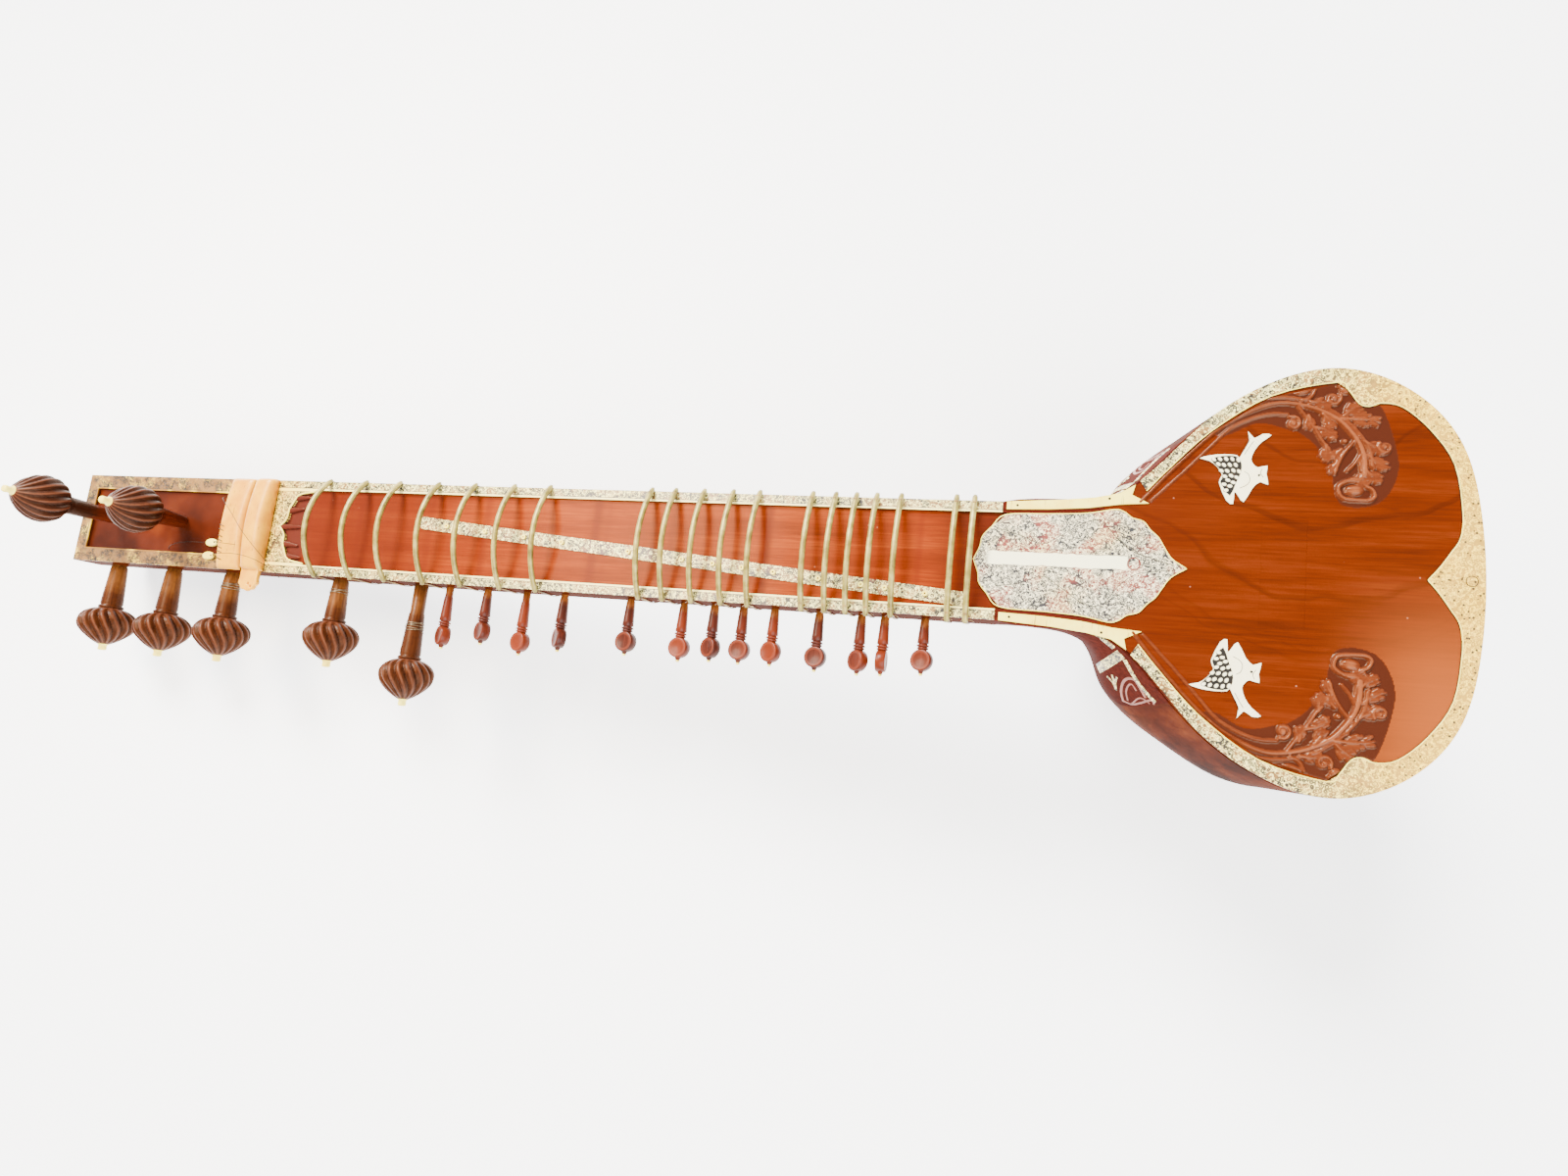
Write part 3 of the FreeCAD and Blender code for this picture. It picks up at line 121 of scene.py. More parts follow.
def make_camera():
    data = bpy.data.cameras.new("photo_camera")
    data.sensor_width = 36.0
    data.lens = data.sensor_width * LENS_SHARE
    data.shift_x, data.shift_y = LENS_SHIFT
    data.clip_start, data.clip_end = 0.01, 50.0
    camera = add_object("photo_camera", data)
    turn = TO_ROW.to_3x3().normalized() @ Matrix.Rotation(CAMERA_TURN.length, 3, CAMERA_TURN)
    camera.matrix_world = Matrix.Translation(row(CAMERA_PLACE)) @ turn.to_4x4()
    bpy.context.scene.camera = camera


def point_light(light, place, aim):
    """Puts a light at a place in the row's frame, turned so that it shines along aim."""
    light.location = place
    light.rotation_euler = Vector(aim).to_track_quat("-Z", "Y").to_euler()


def add_light(name, kind, power, colour):
    data = bpy.data.lights.new(name, kind)
    data.energy, data.color = power, colour
    return data, add_object(name, data)


def make_floor_and_light():
    """Broad even light from both sides, dim from above so that varnish stays clear, and one soft box whose
    reflection lies on the middle of the fingerboard."""
    world = bpy.data.worlds.new("studio")
    world.use_nodes = True
    background = world.node_tree.nodes["Background"]
    background.inputs["Color"].default_value = (1.0, 0.99, 0.97, 1.0)
    background.inputs["Strength"].default_value = 0.9
    bpy.context.scene.world = world
    out_of_face = TO_ROW.to_3x3().normalized()
    for name, power, spread, toward, colour in SUNS:
        data, light = add_light(name, "SUN", power, colour)
        data.angle = spread
        point_light(light, (0.0, 0.0, 2.0), out_of_face @ -Vector(toward))
    data, light = add_light("soft_box", "AREA", 19.0, (1.0, 0.82, 0.62))
    data.shape, data.size = "DISK", 0.5
    point_light(light, row(SOFT_BOX), row(LIT) - row(SOFT_BOX))
    mesh = bpy.data.meshes.new("floor")
    corners = [(FLOOR_HALF * x, FLOOR_HALF * y, 0) for x, y in ((-1, -1), (1, -1), (1, 1), (-1, 1))]
    mesh.from_pydata(corners, [], [(0, 1, 2, 3)])
    floor = add_object("floor", mesh)
    paint = bpy.data.materials.new("floor_paint")
    paint.use_nodes = True
    shader = paint.node_tree.nodes["Principled BSDF"]
    for socket, value in (("Base Color", (0.93, 0.93, 0.92, 1.0)), ("Roughness", 0.9),
                          ("Emission Color", (1.0, 1.0, 1.0, 1.0)), ("Emission Strength", 1.8)):
        shader.inputs[socket].default_value = value
    mesh.materials.append(paint)


# ---------------------------------------------------------------- materials

class Signal:
    """A node's output in a material; sums, differences and products of it each add one math node."""

    def __init__(self, surface, socket):
        self.surface, self.socket = surface, socket

    def __add__(self, other):
        return self.surface.math("ADD", self, other)

    def __sub__(self, other):
        return self.surface.math("SUBTRACT", self, other)

    def __rsub__(self, other):
        return self.surface.math("SUBTRACT", other, self)

    def __mul__(self, other):
        return self.surface.math("MULTIPLY", self, other)

    def __abs__(self):
        return self.surface.math("ABSOLUTE", self)

    __radd__, __rmul__ = __add__, __mul__


class Surface:
    """A procedural material with coordinates in millimetres in the instrument's frame."""

    def __init__(self, name, **shader):
        self.material = bpy.data.materials.new(name)
        self.material.use_nodes = True
        self.tree = self.material.node_tree
        self.shader = self.tree.nodes["Principled BSDF"]
        for socket, value in shader.items():
            self.shader.inputs[socket.replace("_", " ")].default_value = value
        self.mm = self.node("Mapping", self.node("TexCoord", out="Object"), FROM_ROW.to_translation(),
                            FROM_ROW.to_3x3().normalized().to_euler(), (1 / MM, 1 / MM, 1 / MM))
        self.x, self.y, self.z = (self.node("SeparateXYZ", self.mm, out=axis) for axis in range(3))

    def node(self, kind, *values, out=0, **named):
        """One output of a new node. Values fill its first sockets; names in capitals are sockets, the others
        settings."""
        made = self.tree.nodes.new("ShaderNode" + kind)
        for name, value in named.items():
            if name[0].islower():
                setattr(made, name, value)
            else:
                self.put(made.inputs[name.replace("_", " ")], value)
        for socket, value in zip(made.inputs, values):
            self.put(socket, value)
        return Signal(self, made.outputs[out])

    def put(self, socket, value):
        if isinstance(value, Signal):
            self.tree.links.new(value.socket, socket)
        else:
            socket.default_value = value

    def math(self, operation, *values):
        return self.node("Math", *values, operation=operation)

    def maximum(self, first, *others):
        for other in others:
            first = self.math("MAXIMUM", first, other)
        return first

    def stretched(self, x, y, z):
        """The millimetre coordinates multiplied axis by axis."""
        return self.node("VectorMath", self.mm, (x, y, z), operation="MULTIPLY")

    def along_line(self, value):
        """Coordinates that change with the value only."""
        return self.node("CombineXYZ", value, 0.0, 0.0)

    def noise(self, vector, scale=1.0, detail=3.0, roughness=0.5, out=0):
        return self.node("TexNoise", Vector=vector, Scale=scale, Detail=detail, Roughness=roughness, out=out)

    def warped(self, vector, scale, amount):
        """The vector moved about by noise, so that what is drawn with it curls."""
        moved = self.noise(vector, scale, 1.0, out=1)
        return self.node("VectorMath", moved, (amount, amount, amount), vector, operation="MULTIPLY_ADD")

    def cells(self, vector, scale):
        """Distance to the nearest of scattered points."""
        return self.node("TexVoronoi", Vector=vector, Scale=scale)

    def step(self, value, low, high):
        """0 below low, 1 above high, smooth between."""
        return self.node("MapRange", value, low, high, interpolation_type="SMOOTHSTEP")

    def spread(self, value, low, high):
        """A value from 0 to 1 carried over to the range from low to high."""
        return self.node("MapRange", value, To_Min=low, To_Max=high)

    def mix(self, share, first, second):
        made = self.tree.nodes.new("ShaderNodeMix")
        made.data_type = "RGBA"
        for index, value in ((0, share), (6, first), (7, second)):
            self.put(made.inputs[index], value)
        return Signal(self, made.outputs[2])

    def ramp(self, value, stops):
        stops = list(stops)
        made = self.node("ValToRGB", value)
        elements = made.socket.node.color_ramp.elements
        while len(elements) < len(stops):
            elements.new(0.5)
        for element, (place, colour) in zip(elements, stops):
            element.position, element.color = place, colour
        return made

    def bump(self, height, depth_mm, strength=1.0):
        bumped = self.node("Bump", Height=height, Distance=depth_mm * MM, Strength=strength)
        self.put(self.shader.inputs["Normal"], bumped)

    def attribute(self, name):
        return self.node("Attribute", attribute_name=name, out="Fac")

    def finish(self, colour, roughness):
        self.put(self.shader.inputs["Base Color"], colour)
        self.put(self.shader.inputs["Roughness"], roughness)
        return self.material


def rgb(red, green, blue):
    """A colour given as screen values from 0 to 255."""
    linear = (((c / 255.0 + 0.055) / 1.055) ** 2.4 if c > 10 else c / 3294.6 for c in (red, green, blue))
    return (*linear, 1.0)


# Tint of what old varnish mirrors.
VARNISH = (1.0, 0.58, 0.28, 1.0)


def grain(surface, along="x"):
    """Fine streaks and pores along the grain, both from 0 to 1."""
    stretch = {"x": (0.03, 1.0, 1.0), "y": (1.0, 0.03, 1.0), "z": (1.0, 1.0, 0.03)}[along]
    streaks = surface.noise(surface.stretched(*stretch), 0.55, 4.0, 0.62)
    fine = tuple(s * (2.2 if s > 0.5 else 1.6) for s in stretch)
    pores = surface.noise(surface.stretched(*fine), 1.4, 2.0, 0.5)
    return streaks, pores


def board_wood(name, dark, middle, light, figure, figure_colour):
    """Varnished red wood with streaks along the neck, broad darker patches, pores and specks of dust."""
    s = Surface(name, Coat_Weight=0.02, Coat_Roughness=0.1, Specular_IOR_Level=0.16, Specular_Tint=VARNISH)
    streaks, pores = grain(s)
    broad = s.noise(s.stretched(0.0045, 0.055, 0.05), 1.0, 3.0, 0.55)
    tone = 0.45 * streaks + 0.55 * broad
    colour = s.ramp(tone, [(0.34, dark), (0.5, middle), (0.66, light)])
    # the figure: on the face the wood's own figure; on the fingerboard darker bands across it, partly string
    # rubbing and partly painted shadow of the frets
    colour = s.mix(0.8 * figure(s), colour, figure_colour)
    colour = s.mix(0.5 * s.step(pores, 0.56, 0.7), colour, rgb(44, 12, 3))
    specks = s.cells(s.mm, 0.045)
    dust = s.step(specks, 0.035, 0.02)
    colour = s.mix(0.45 * dust, colour, rgb(190, 130, 100))
    s.bump(-0.6 * pores + streaks, 0.06, 0.3)
    smudges = s.noise(s.mm, 0.02, 3.0, 0.6)
    return s, colour, s.spread(smudges, 0.24, 0.42)


def flames(s):
    """Curved dark figure of the face, as if rings ran round a centre beside the upper shoulder."""
    dx, dy = s.x + 98.0, s.y - 150.0
    away = s.math("SQRT", dx * dx + dy * dy)
    wander = s.noise(s.mm, 0.012, 2.0)
    bands = s.noise(s.along_line(0.06 * away + 3.0 * wander), 1.0, 3.0, 0.6)
    return 0.7 * s.step(bands, 0.54, 0.68)


FACE_TONES = rgb(62, 17, 2), rgb(83, 25, 3), rgb(98, 36, 5)


def face_wood():
    s, colour, gloss = board_wood("face_wood", *FACE_TONES, flames, rgb(48, 12, 2))
    # painted highlight: the face lighter towards the tail and its lower side, as a pool of light
    painted_glow = s.step(s.x, -110.0, -20.0) * s.step(s.y, 20.0, -90.0)
    colour = s.mix(0.75 * painted_glow, colour, rgb(146, 74, 30))
    neckwards = s.step(s.x, -150.0, -235.0)
    colour = s.mix(0.45 * neckwards, colour, rgb(70, 18, 5))
    return s.finish(colour, gloss)


def shadow_and_rubbing_bands(s):
    """Darker stretches of the fingerboard, one after another along the neck: partly string rubbing and partly
    painted shadow of the frets.
    """
    across = s.noise(s.along_line(0.034 * s.x), 1.0, 2.0, 0.6)
    return s.step(across, 0.50, 0.70)


def neck_board_wood():
    s, colour, gloss = board_wood("board_wood", rgb(82, 22, 3), rgb(112, 35, 3), rgb(138, 54, 8),
                                  shadow_and_rubbing_bands, rgb(88, 20, 6))
    headwards = s.step(s.x, -760.0, -930.0)
    colour = s.mix(0.75 * headwards, colour, rgb(84, 24, 8))
    # painted shade: the board darker in the recess under the cusped sheet beside the nut
    petals = s.step(s.x, -958.0, -964.0)
    colour = s.mix(0.8 * petals, colour, rgb(70, 28, 22))
    head = s.step(s.x, -1030.0, -1040.0)
    patch = s.noise(s.mm, 0.02, 3.0, 0.5)
    panel = s.ramp(patch, [(0.35, rgb(46, 13, 3)), (0.55, rgb(76, 26, 7)), (0.7, rgb(104, 44, 12))])
    colour = s.mix(0.85 * head, colour, panel)
    tailwards = s.step(s.x, -385.0, -345.0)
    colour = s.mix(0.7 * tailwards, colour, rgb(64, 16, 8))
    return s.finish(colour, gloss)


def dark_wood(name, dark, light):
    """Varnished wood of the neck and the cowl."""
    s = Surface(name, Coat_Weight=0.05, Coat_Roughness=0.15, Specular_IOR_Level=0.0)
    streaks, pores = grain(s)
    blotch = s.noise(s.mm, 0.018, 3.0, 0.55)
    colour = s.ramp(streaks, [(0.3, dark), (0.7, light)])
    colour = s.mix(0.5 * s.step(blotch, 0.42, 0.7), colour, dark)
    colour = s.mix(0.4 * s.step(pores, 0.57, 0.7), colour, rgb(28, 8, 4))
    s.bump(pores, 0.08, 0.3)
    return s.finish(colour, s.spread(blotch, 0.4, 0.6))


def gourd_skin():
    """Dark lacquer over a gourd's mottled, faintly ribbed shell."""
    s = Surface("gourd_lacquer", Coat_Weight=0.07, Coat_Roughness=0.12, Specular_IOR_Level=0.0)
    cloud = s.noise(s.mm, 0.022, 5.0, 0.62)
    veins = s.noise(s.warped(s.stretched(0.35, 1.0, 0.35), 0.02, 6.0), 0.09, 3.0, 0.55)
    colour = s.ramp(cloud, [(0.3, rgb(40, 12, 4)), (0.52, rgb(70, 26, 10)), (0.72, rgb(102, 46, 18))])
    colour = s.mix(0.45 * s.step(veins, 0.52, 0.66), colour, rgb(30, 9, 4))
    s.bump(cloud + 0.4 * veins, 0.9, 0.25)
    return s.finish(colour, s.spread(veins, 0.22, 0.4))


def carved_wood():
    """The relief's wood: the face's colour, darker in its hollows, lighter on its crests, partly rubbed and
    partly a painted highlight.
    """
    s = Surface("carved_wood", Coat_Weight=0.1, Coat_Roughness=0.12, Specular_IOR_Level=0.25,
                Specular_Tint=VARNISH)
    streaks, pores = grain(s)
    colour = s.ramp(streaks, [(0.28, rgb(74, 28, 10)), (0.5, rgb(90, 38, 15)), (0.72, rgb(104, 48, 20))])
    crest = s.attribute("wear")
    colour = s.mix(s.step(crest, 0.35, 0.0), colour, rgb(56, 20, 9))
    # lighter crests: partly rubbed wood, partly painted highlight
    colour = s.mix(0.6 * s.step(crest, 0.7, 1.0), colour, rgb(134, 74, 42))
    face = s.ramp(streaks, zip((0.34, 0.5, 0.66), FACE_TONES))
    colour = s.mix(s.step(s.attribute("along"), 0.75, 0.2), colour, face)
    s.bump(pores + streaks, 0.1, 0.3)
    return s.finish(colour, 0.28)


def peg_wood(name, along, dark, light, raw, gloss):
    """Turned and fluted peg wood: raw near the neck, stained on the knob, with painted shade in the flutes
    and painted highlights on the ridges.
    """
    s = Surface(name, Coat_Weight=gloss, Coat_Roughness=0.14, Specular_IOR_Level=0.1, Specular_Tint=VARNISH)
    streaks, pores = grain(s, along)
    knob = s.ramp(streaks, [(0.3, dark), (0.7, light)])
    bare = s.ramp(streaks, [(0.3, raw[0]), (0.7, raw[1])])
    far = s.attribute("along")
    ragged = far + 14.0 * s.noise(s.mm, 0.12, 3.0)
    colour = s.mix(s.step(ragged, 24.0, 40.0), bare, knob)
    wear = s.attribute("wear")
    # painted shade in the flutes; painted highlight on the ridges between them
    colour = s.mix(0.9 * s.step(wear, 0.5, 0.0), colour, rgb(20, 7, 4))
    colour = s.mix(0.5 * s.step(wear, 0.86, 1.0), colour, rgb(112, 64, 44))
    grime = s.noise(s.mm, 0.16, 4.0, 0.6)
    colour = s.mix(0.4 * s.step(grime, 0.52, 0.7), colour, rgb(34, 14, 8))
    s.bump(pores + streaks, 0.12, 0.4)
    return s.finish(colour, s.spread(grime, 0.28, 0.5))


def small_peg_wood():
    """Stained small pegs: raw where they enter the neck, some orange and some dark, disc faces painted paler
    as a reflection.
    """
    s = Surface("small_peg_lacquer", Coat_Weight=0.06, Coat_Roughness=0.15, Specular_IOR_Level=0.12)
    streaks, pores = grain(s, "y")
    apart = s.noise(s.along_line(0.021 * s.x), 1.0, 0.0)
    stain = s.mix(s.step(apart, 0.40, 0.60), rgb(98, 34, 11), rgb(56, 22, 13))
    lacquer = s.mix(0.4 * s.step(streaks, 0.35, 0.7), stain, rgb(106, 42, 26))
    bare = s.ramp(streaks, [(0.3, rgb(84, 36, 12)), (0.7, rgb(146, 84, 34))])
    ragged = s.attribute("along") + 6.0 * s.noise(s.mm, 0.3, 2.0)
    colour = s.mix(s.step(ragged, 7.0, 13.0), bare, lacquer)
    wear = s.attribute("wear")
    # painted reflection: the flat disc faces paler; painted shade: the disc's rim a little darker
    lit_tone = s.mix(0.5, stain, rgb(122, 54, 34))
    colour = s.mix(0.9 * s.step(wear, 0.8, 0.9), colour, lit_tone)
    colour = s.mix(0.8 * s.step(wear, 0.3, 0.0), colour, rgb(30, 10, 8))
    s.bump(pores, 0.06, 0.3)
    return s.finish(colour, 0.34)


def ink_pattern(s, fineness):
    """Engraved filigree, 0 to 1: rings and curls with dotted eyes, finer curls between, long vine stems."""
    plan = s.stretched(1.0, 1.0, 0.0)
    curled = s.warped(plan, 0.2 * fineness, 3.0)
    distance = s.cells(curled, 0.40 * fineness)
    rings = s.step(abs(distance - 0.38), 0.16, 0.08)
    eyes = s.step(distance, 0.17, 0.10)
    finer = s.cells(s.warped(plan, 0.45, 2.0), 0.85 * fineness)
    curls = s.step(abs(finer - 0.45), 0.17, 0.07)
    wander = s.noise(plan, 0.055 * fineness, 2.0, 0.5)
    vines = s.step(abs(wander - 0.5), 0.016, 0.008)
    strong = s.maximum(rings, eyes, vines)
    return s.maximum(strong, 0.85 * curls)


# Width of the plain line along the edge of an engraved sheet.
PLAIN = 1.5


def plain_line(s, distance):
    """1 on the plain line beside an edge, and the thin dark line that closes it, from a distance in mm."""
    plain = s.step(distance, PLAIN, PLAIN - 0.3)
    dark = s.step(abs(distance - (PLAIN + 0.35)), 0.35, 0.15)
    return plain, dark


def engraved_sheet(name, fineness=1.0, red=0.0, lines=None):
    """Cream celluloid with inked engraving; lines(surface) gives a distance for the plain edge line."""
    s = Surface(name, Coat_Weight=0.2, Coat_Roughness=0.15)
    ink = ink_pattern(s, fineness)
    age = s.noise(s.mm, 0.02, 3.0, 0.6)
    ends = s.maximum(s.step(s.x, -150.0, -40.0), s.step(s.x, -930.0, -1010.0))
    head = s.step(s.x, -1030.0, -1050.0)
    # the sheet yellower towards the tail and towards the nut, and in patches with age; at the tail this
    # yellow is also painted light, for the brighter light falling there
    yellow = 0.85 * ends + 0.15 * s.step(age, 0.45, 0.7)
    base = s.mix(yellow, rgb(254, 240, 150), rgb(253, 206, 30))
    black, brown = rgb(40, 34, 24), rgb(128, 90, 40)
    tail = s.step(s.x, -120.0, -30.0)
    ink_colour = s.mix(s.step(s.noise(s.mm, 0.11, 2.0), 0.45, 0.6), black, brown)
    ink_colour = s.mix(0.6 * tail, ink_colour, rgb(150, 92, 30))
    if red:
        reddish = s.step(s.noise(s.mm, 0.07, 2.0), 0.5, 0.62) * red
        ink_colour = s.mix(reddish, ink_colour, rgb(118, 40, 30))
    if lines is not None:
        plain, dark = plain_line(s, lines(s))
        ink = s.maximum(ink * (1.0 - plain), dark)
    patina = s.step(s.noise(s.mm, 0.05, 3.0, 0.6), 0.28, 0.54)
    base = s.mix(head * (0.92 * patina), base, rgb(116, 66, 22))
    fading = 1.0 - 0.3 * tail
    colour = s.mix(ink * fading, base, ink_colour)
    dots = s.step(s.cells(s.stretched(1.0, 1.0, 0.0), 0.3 * fineness), 0.25, 0.17)
    colour = s.mix(dots * tail, colour, rgb(58, 42, 22))
    s.bump(1.0 - ink, 0.12, 0.5)
    return s.finish(colour, s.spread(age, 0.28, 0.48))


def rail_distance(s):
    """Distance outwards from the inner edge of the rails, or of the frame round the head panel."""
    inner = s.x * NECK_SLOPE + (NECK_HALF_TAIL - NECK_SLOPE * NECK_END - RAIL)
    side = abs(s.y)
    on_rail = side - inner
    on_head = s.maximum(side - (NECK_HALF_HEAD - HEAD_WALL), HEAD_CAP - TOTAL_LEN - s.x)
    head = s.step(s.x, -1035.0, -1036.0)
    return abs(on_head * head + on_rail * (1.0 - head))


def joint_plate_sheet():
    """The joint plate's sheet: dense black and red vines, a plain stripe with wavy edges along the middle."""
    s = Surface("joint_plate_sheet", Coat_Weight=0.2, Coat_Roughness=0.15)
    ink = ink_pattern(s, 1.25)
    wave = 3.2 * s.noise(s.stretched(1.0, 1.0, 0.0), 0.16, 2.0)
    from_middle = abs(s.y - 2.0) + wave
    reach = s.step(s.x, -337.0, -330.0) * s.step(s.x, -231.0, -232.5)
    inside = s.step(from_middle, 7.0, 6.4) * reach
    edge = s.step(abs(from_middle - 6.9), 0.5, 0.2) * reach
    ink = s.maximum(ink * (1.0 - inside), 0.5 * edge)
    reddish = 0.85 * s.step(s.noise(s.mm, 0.05, 2.0), 0.47, 0.6)
    ink_colour = s.mix(reddish, rgb(30, 29, 32), rgb(124, 44, 34))
    age = s.noise(s.mm, 0.025, 3.0, 0.6)
    base = s.mix(s.step(age, 0.4, 0.7), rgb(252, 242, 200), rgb(250, 226, 150))
    base = s.mix(inside, base, rgb(254, 250, 206))
    s.bump(1.0 - ink, 0.12, 0.5)
    return s.finish(s.mix(ink, base, ink_colour), 0.36)


def bone(name, light, dark):
    """Polished bone or horn with faint streaks and grime."""
    s = Surface(name, Coat_Weight=0.08, Coat_Roughness=0.15, Specular_IOR_Level=0.3)
    streaks, _ = grain(s, "y")
    cloud = s.noise(s.mm, 0.06, 3.0, 0.6)
    colour = s.mix(s.step(cloud, 0.35, 0.7), light, dark)
    colour = s.mix(0.3 * s.step(streaks, 0.5, 0.75), colour, dark)
    scratches = s.step(s.noise(s.stretched(0.9, 0.06, 0.9), 0.9, 2.0), 0.66, 0.72)
    colour = s.mix(0.55 * scratches, colour, rgb(110, 62, 20))
    s.bump(cloud - scratches, 0.1, 0.3)
    return s.finish(colour, 0.34)


def bird_bone():
    """White bone of the birds, with hatching on the tail and ink round the rim."""
    s = Surface("bird_bone", Coat_Weight=0.2, Coat_Roughness=0.12)
    side = abs(s.y)
    ribs = s.step(abs(s.math("SINE", 1.1 * (s.x + side))), 0.2, 0.05)
    ink = ribs * (0.5 * s.step(side, 87.0, 89.0))
    normal = s.node("SeparateXYZ", s.node("NewGeometry", out="Normal"), out=2)
    rim = 0.8 * s.step(normal, 0.9, 0.75)
    cloud = s.noise(s.mm, 0.1, 2.0)
    base = s.mix(cloud, rgb(254, 250, 214), rgb(250, 238, 184))
    colour = s.mix(s.maximum(ink, rim), base, rgb(28, 24, 18))
    s.bump(1.0 - ink, 0.15, 0.6)
    return s.finish(colour, 0.32)


def fret_metal():
    """Pale brass, tarnished olive, darker on the underside from painted shade, so bright along the crest."""
    s = Surface("fret_metal", Metallic=0.3)
    stain = s.noise(s.mm, 0.12, 4.0, 0.6)
    fine = s.noise(s.stretched(1.0, 0.15, 1.0), 1.5, 2.0)
    colour = s.ramp(stain, [(0.3, rgb(104, 90, 36)), (0.5, rgb(146, 132, 60)), (0.7, rgb(178, 162, 92))])
    crest = s.attribute("wear")
    # painted shade: the rod darker on its underside
    colour = s.mix(0.8 * s.step(crest, 0.55, 0.1), colour, rgb(56, 44, 16))
    s.bump(fine, 0.03, 0.3)
    return s.finish(colour, s.spread(stain, 0.26, 0.5))


def thread():
    """Waxed silk thread of the fret ties."""
    s = Surface("fret_thread", Sheen_Weight=0.4)
    twist = s.math("SINE", 9.0 * (s.y + (s.z + s.x)))
    stain = s.noise(s.mm, 0.2, 3.0)
    colour = s.ramp(stain, [(0.35, rgb(104, 70, 14)), (0.65, rgb(168, 126, 34))])
    colour = s.mix(0.35 * s.step(twist, 0.0, 1.0), colour, rgb(98, 64, 26))
    s.bump(twist, 0.08, 0.6)
    return s.finish(colour, 0.75)


def steel_wire(name, light):
    """Thin tarnished string wire."""
    s = Surface(name, Metallic=0.9)
    stain = s.noise(s.mm, 0.3, 3.0)
    colour = s.ramp(stain, [(0.35, rgb(*(int(c * 0.6) for c in light))), (0.65, rgb(*light))])
    s.bump(stain, 0.02, 0.3)
    return s.finish(colour, 0.4)


# ---------------------------------------------------------------- mesh building

class Shape:
    """Collects grids and tubes in the instrument's frame, and turns them into one Blender piece."""

    def __init__(self):
        self.points, self.faces, self.slots, self.wear, self.along = [], [], [], [], []

    def grid(self, rows, slot=0, wear=None, along=None, wrap=True, caps=(False, False)):
        """Quads between successive rows of points; wrap joins each row's end to its start."""
        base, count = len(self.points), len(rows[0])
        for i, points in enumerate(rows):
            self.points += [Vector(p) for p in points]
            self.wear += list(wear[i]) if wear is not None else [0.6] * count
            self.along += list(along[i]) if along is not None else [0.0] * count
        for i in range(len(rows) - 1):
            for j in range(count if wrap else count - 1):
                a, b = base + i * count + j, base + i * count + (j + 1) % count
                self.add_face((a, b, b + count, a + count), slot)
        if caps[0]:
            self.add_face(tuple(base + j for j in reversed(range(count))), slot)
        if caps[1]:
            self.add_face(tuple(base + (len(rows) - 1) * count + j for j in range(count)), slot)

    def add_face(self, face, slot):
        self.faces.append(face)
        self.slots.append(slot)

    def disc(self, ring, slot=0):
        """One flat face inside the ring of points."""
        base = len(self.points)
        self.points += [Vector(p) for p in ring]
        self.wear += [0.6] * len(ring)
        self.along += [0.0] * len(ring)
        self.add_face(tuple(range(base, base + len(ring))), slot)

    def tube(self, path, radius, slot=0, sides=8, closed=False, oval=1.0):
        """A tube of the given radius, or radii, along the path; oval scales it across the up direction."""
        path = [Vector(p) for p in path]
        count = len(path)
        rows, shade = [], []
        side = None
        for i, point in enumerate(path):
            ahead = path[(i + 1) % count] if closed or i + 1 < count else path[i]
            back = path[i - 1] if closed or i > 0 else path[i]
            forward = (ahead - back).normalized()
            if side is None:
                side = forward.cross(Vector((0, 0, 1)))
                if side.length < 0.01:
                    side = forward.cross(Vector((1, 0, 0)))
            side = (side - forward * side.dot(forward)).normalized()
            top = side.cross(forward)
            reach = radius[i] if hasattr(radius, "__len__") else radius
            ring, tone = [], []
            for angle in circle(sides):
                ring.append(point + side * (reach * oval * math.cos(angle)) + top * (reach * math.sin(angle)))
                # shading: 1 along the top of the tube, 0 underneath; the fret's metal paints shade from it
                tone.append(0.5 + 0.5 * math.sin(angle))
            rows.append(ring)
            shade.append(tone)
        if closed:
            rows.append(rows[0])
            shade.append(shade[0])
        self.grid(rows, slot, wear=shade, caps=(not closed, not closed))

    def clamp_floor(self, start, low):
        """Lifts points from index start on that lie under the level low."""
        for point in self.points[start:]:
            point.z = max(point.z, low)

    def piece(self, name, materials, slot, body="instrument", replaces=()):
        mesh = bpy.data.meshes.new(name)
        mesh.from_pydata([TO_ROW @ p for p in self.points], [], self.faces)
        for material in materials:
            mesh.materials.append(material)
        mesh.polygons.foreach_set("material_index", self.slots)
        for title, values in (("wear", self.wear), ("along", self.along)):
            layer = mesh.attributes.new(title, "FLOAT", "POINT")
            layer.data.foreach_set("value", values)
        mesh.polygons.foreach_set("use_smooth", [True] * len(mesh.polygons))
        mesh.update()
        return settle(add_object(name, mesh), body, replaces)


def settle(obj, body, replaces=()):
    """Rides a piece on its body and hides the nodes that it stands for."""
    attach(obj, body)
    if replaces:
        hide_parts(*replaces)
    return obj


def curve_through(points, steps, closed=False):
    """Catmull-Rom points through the given ones."""
    pts = [Vector(p) for p in points]
    count = len(pts)
    path = []
    for i in range(count if closed else count - 1):
        p0 = pts[i - 1] if closed or i > 0 else pts[i] * 2 - pts[i + 1]
        p1, p2 = pts[i], pts[(i + 1) % count]
        p3 = pts[(i + 2) % count] if closed or i + 2 < count else p2 * 2 - p1
        for k in range(steps):
            t = k / steps
            path.append(0.5 * (2 * p1 + (p2 - p0) * t + (2 * p0 - 5 * p1 + 4 * p2 - p3) * t * t
                               + (3 * p1 - p0 - 3 * p2 + p3) * t ** 3))
    if not closed:
        path.append(pts[-1])
    return path


def plan_curve(points, steps, closed=False):
    """Catmull-Rom points through the given ones, in plan."""
    return [(p.x, p.y) for p in curve_through([(x, y, 0) for x, y in points], steps, closed)]


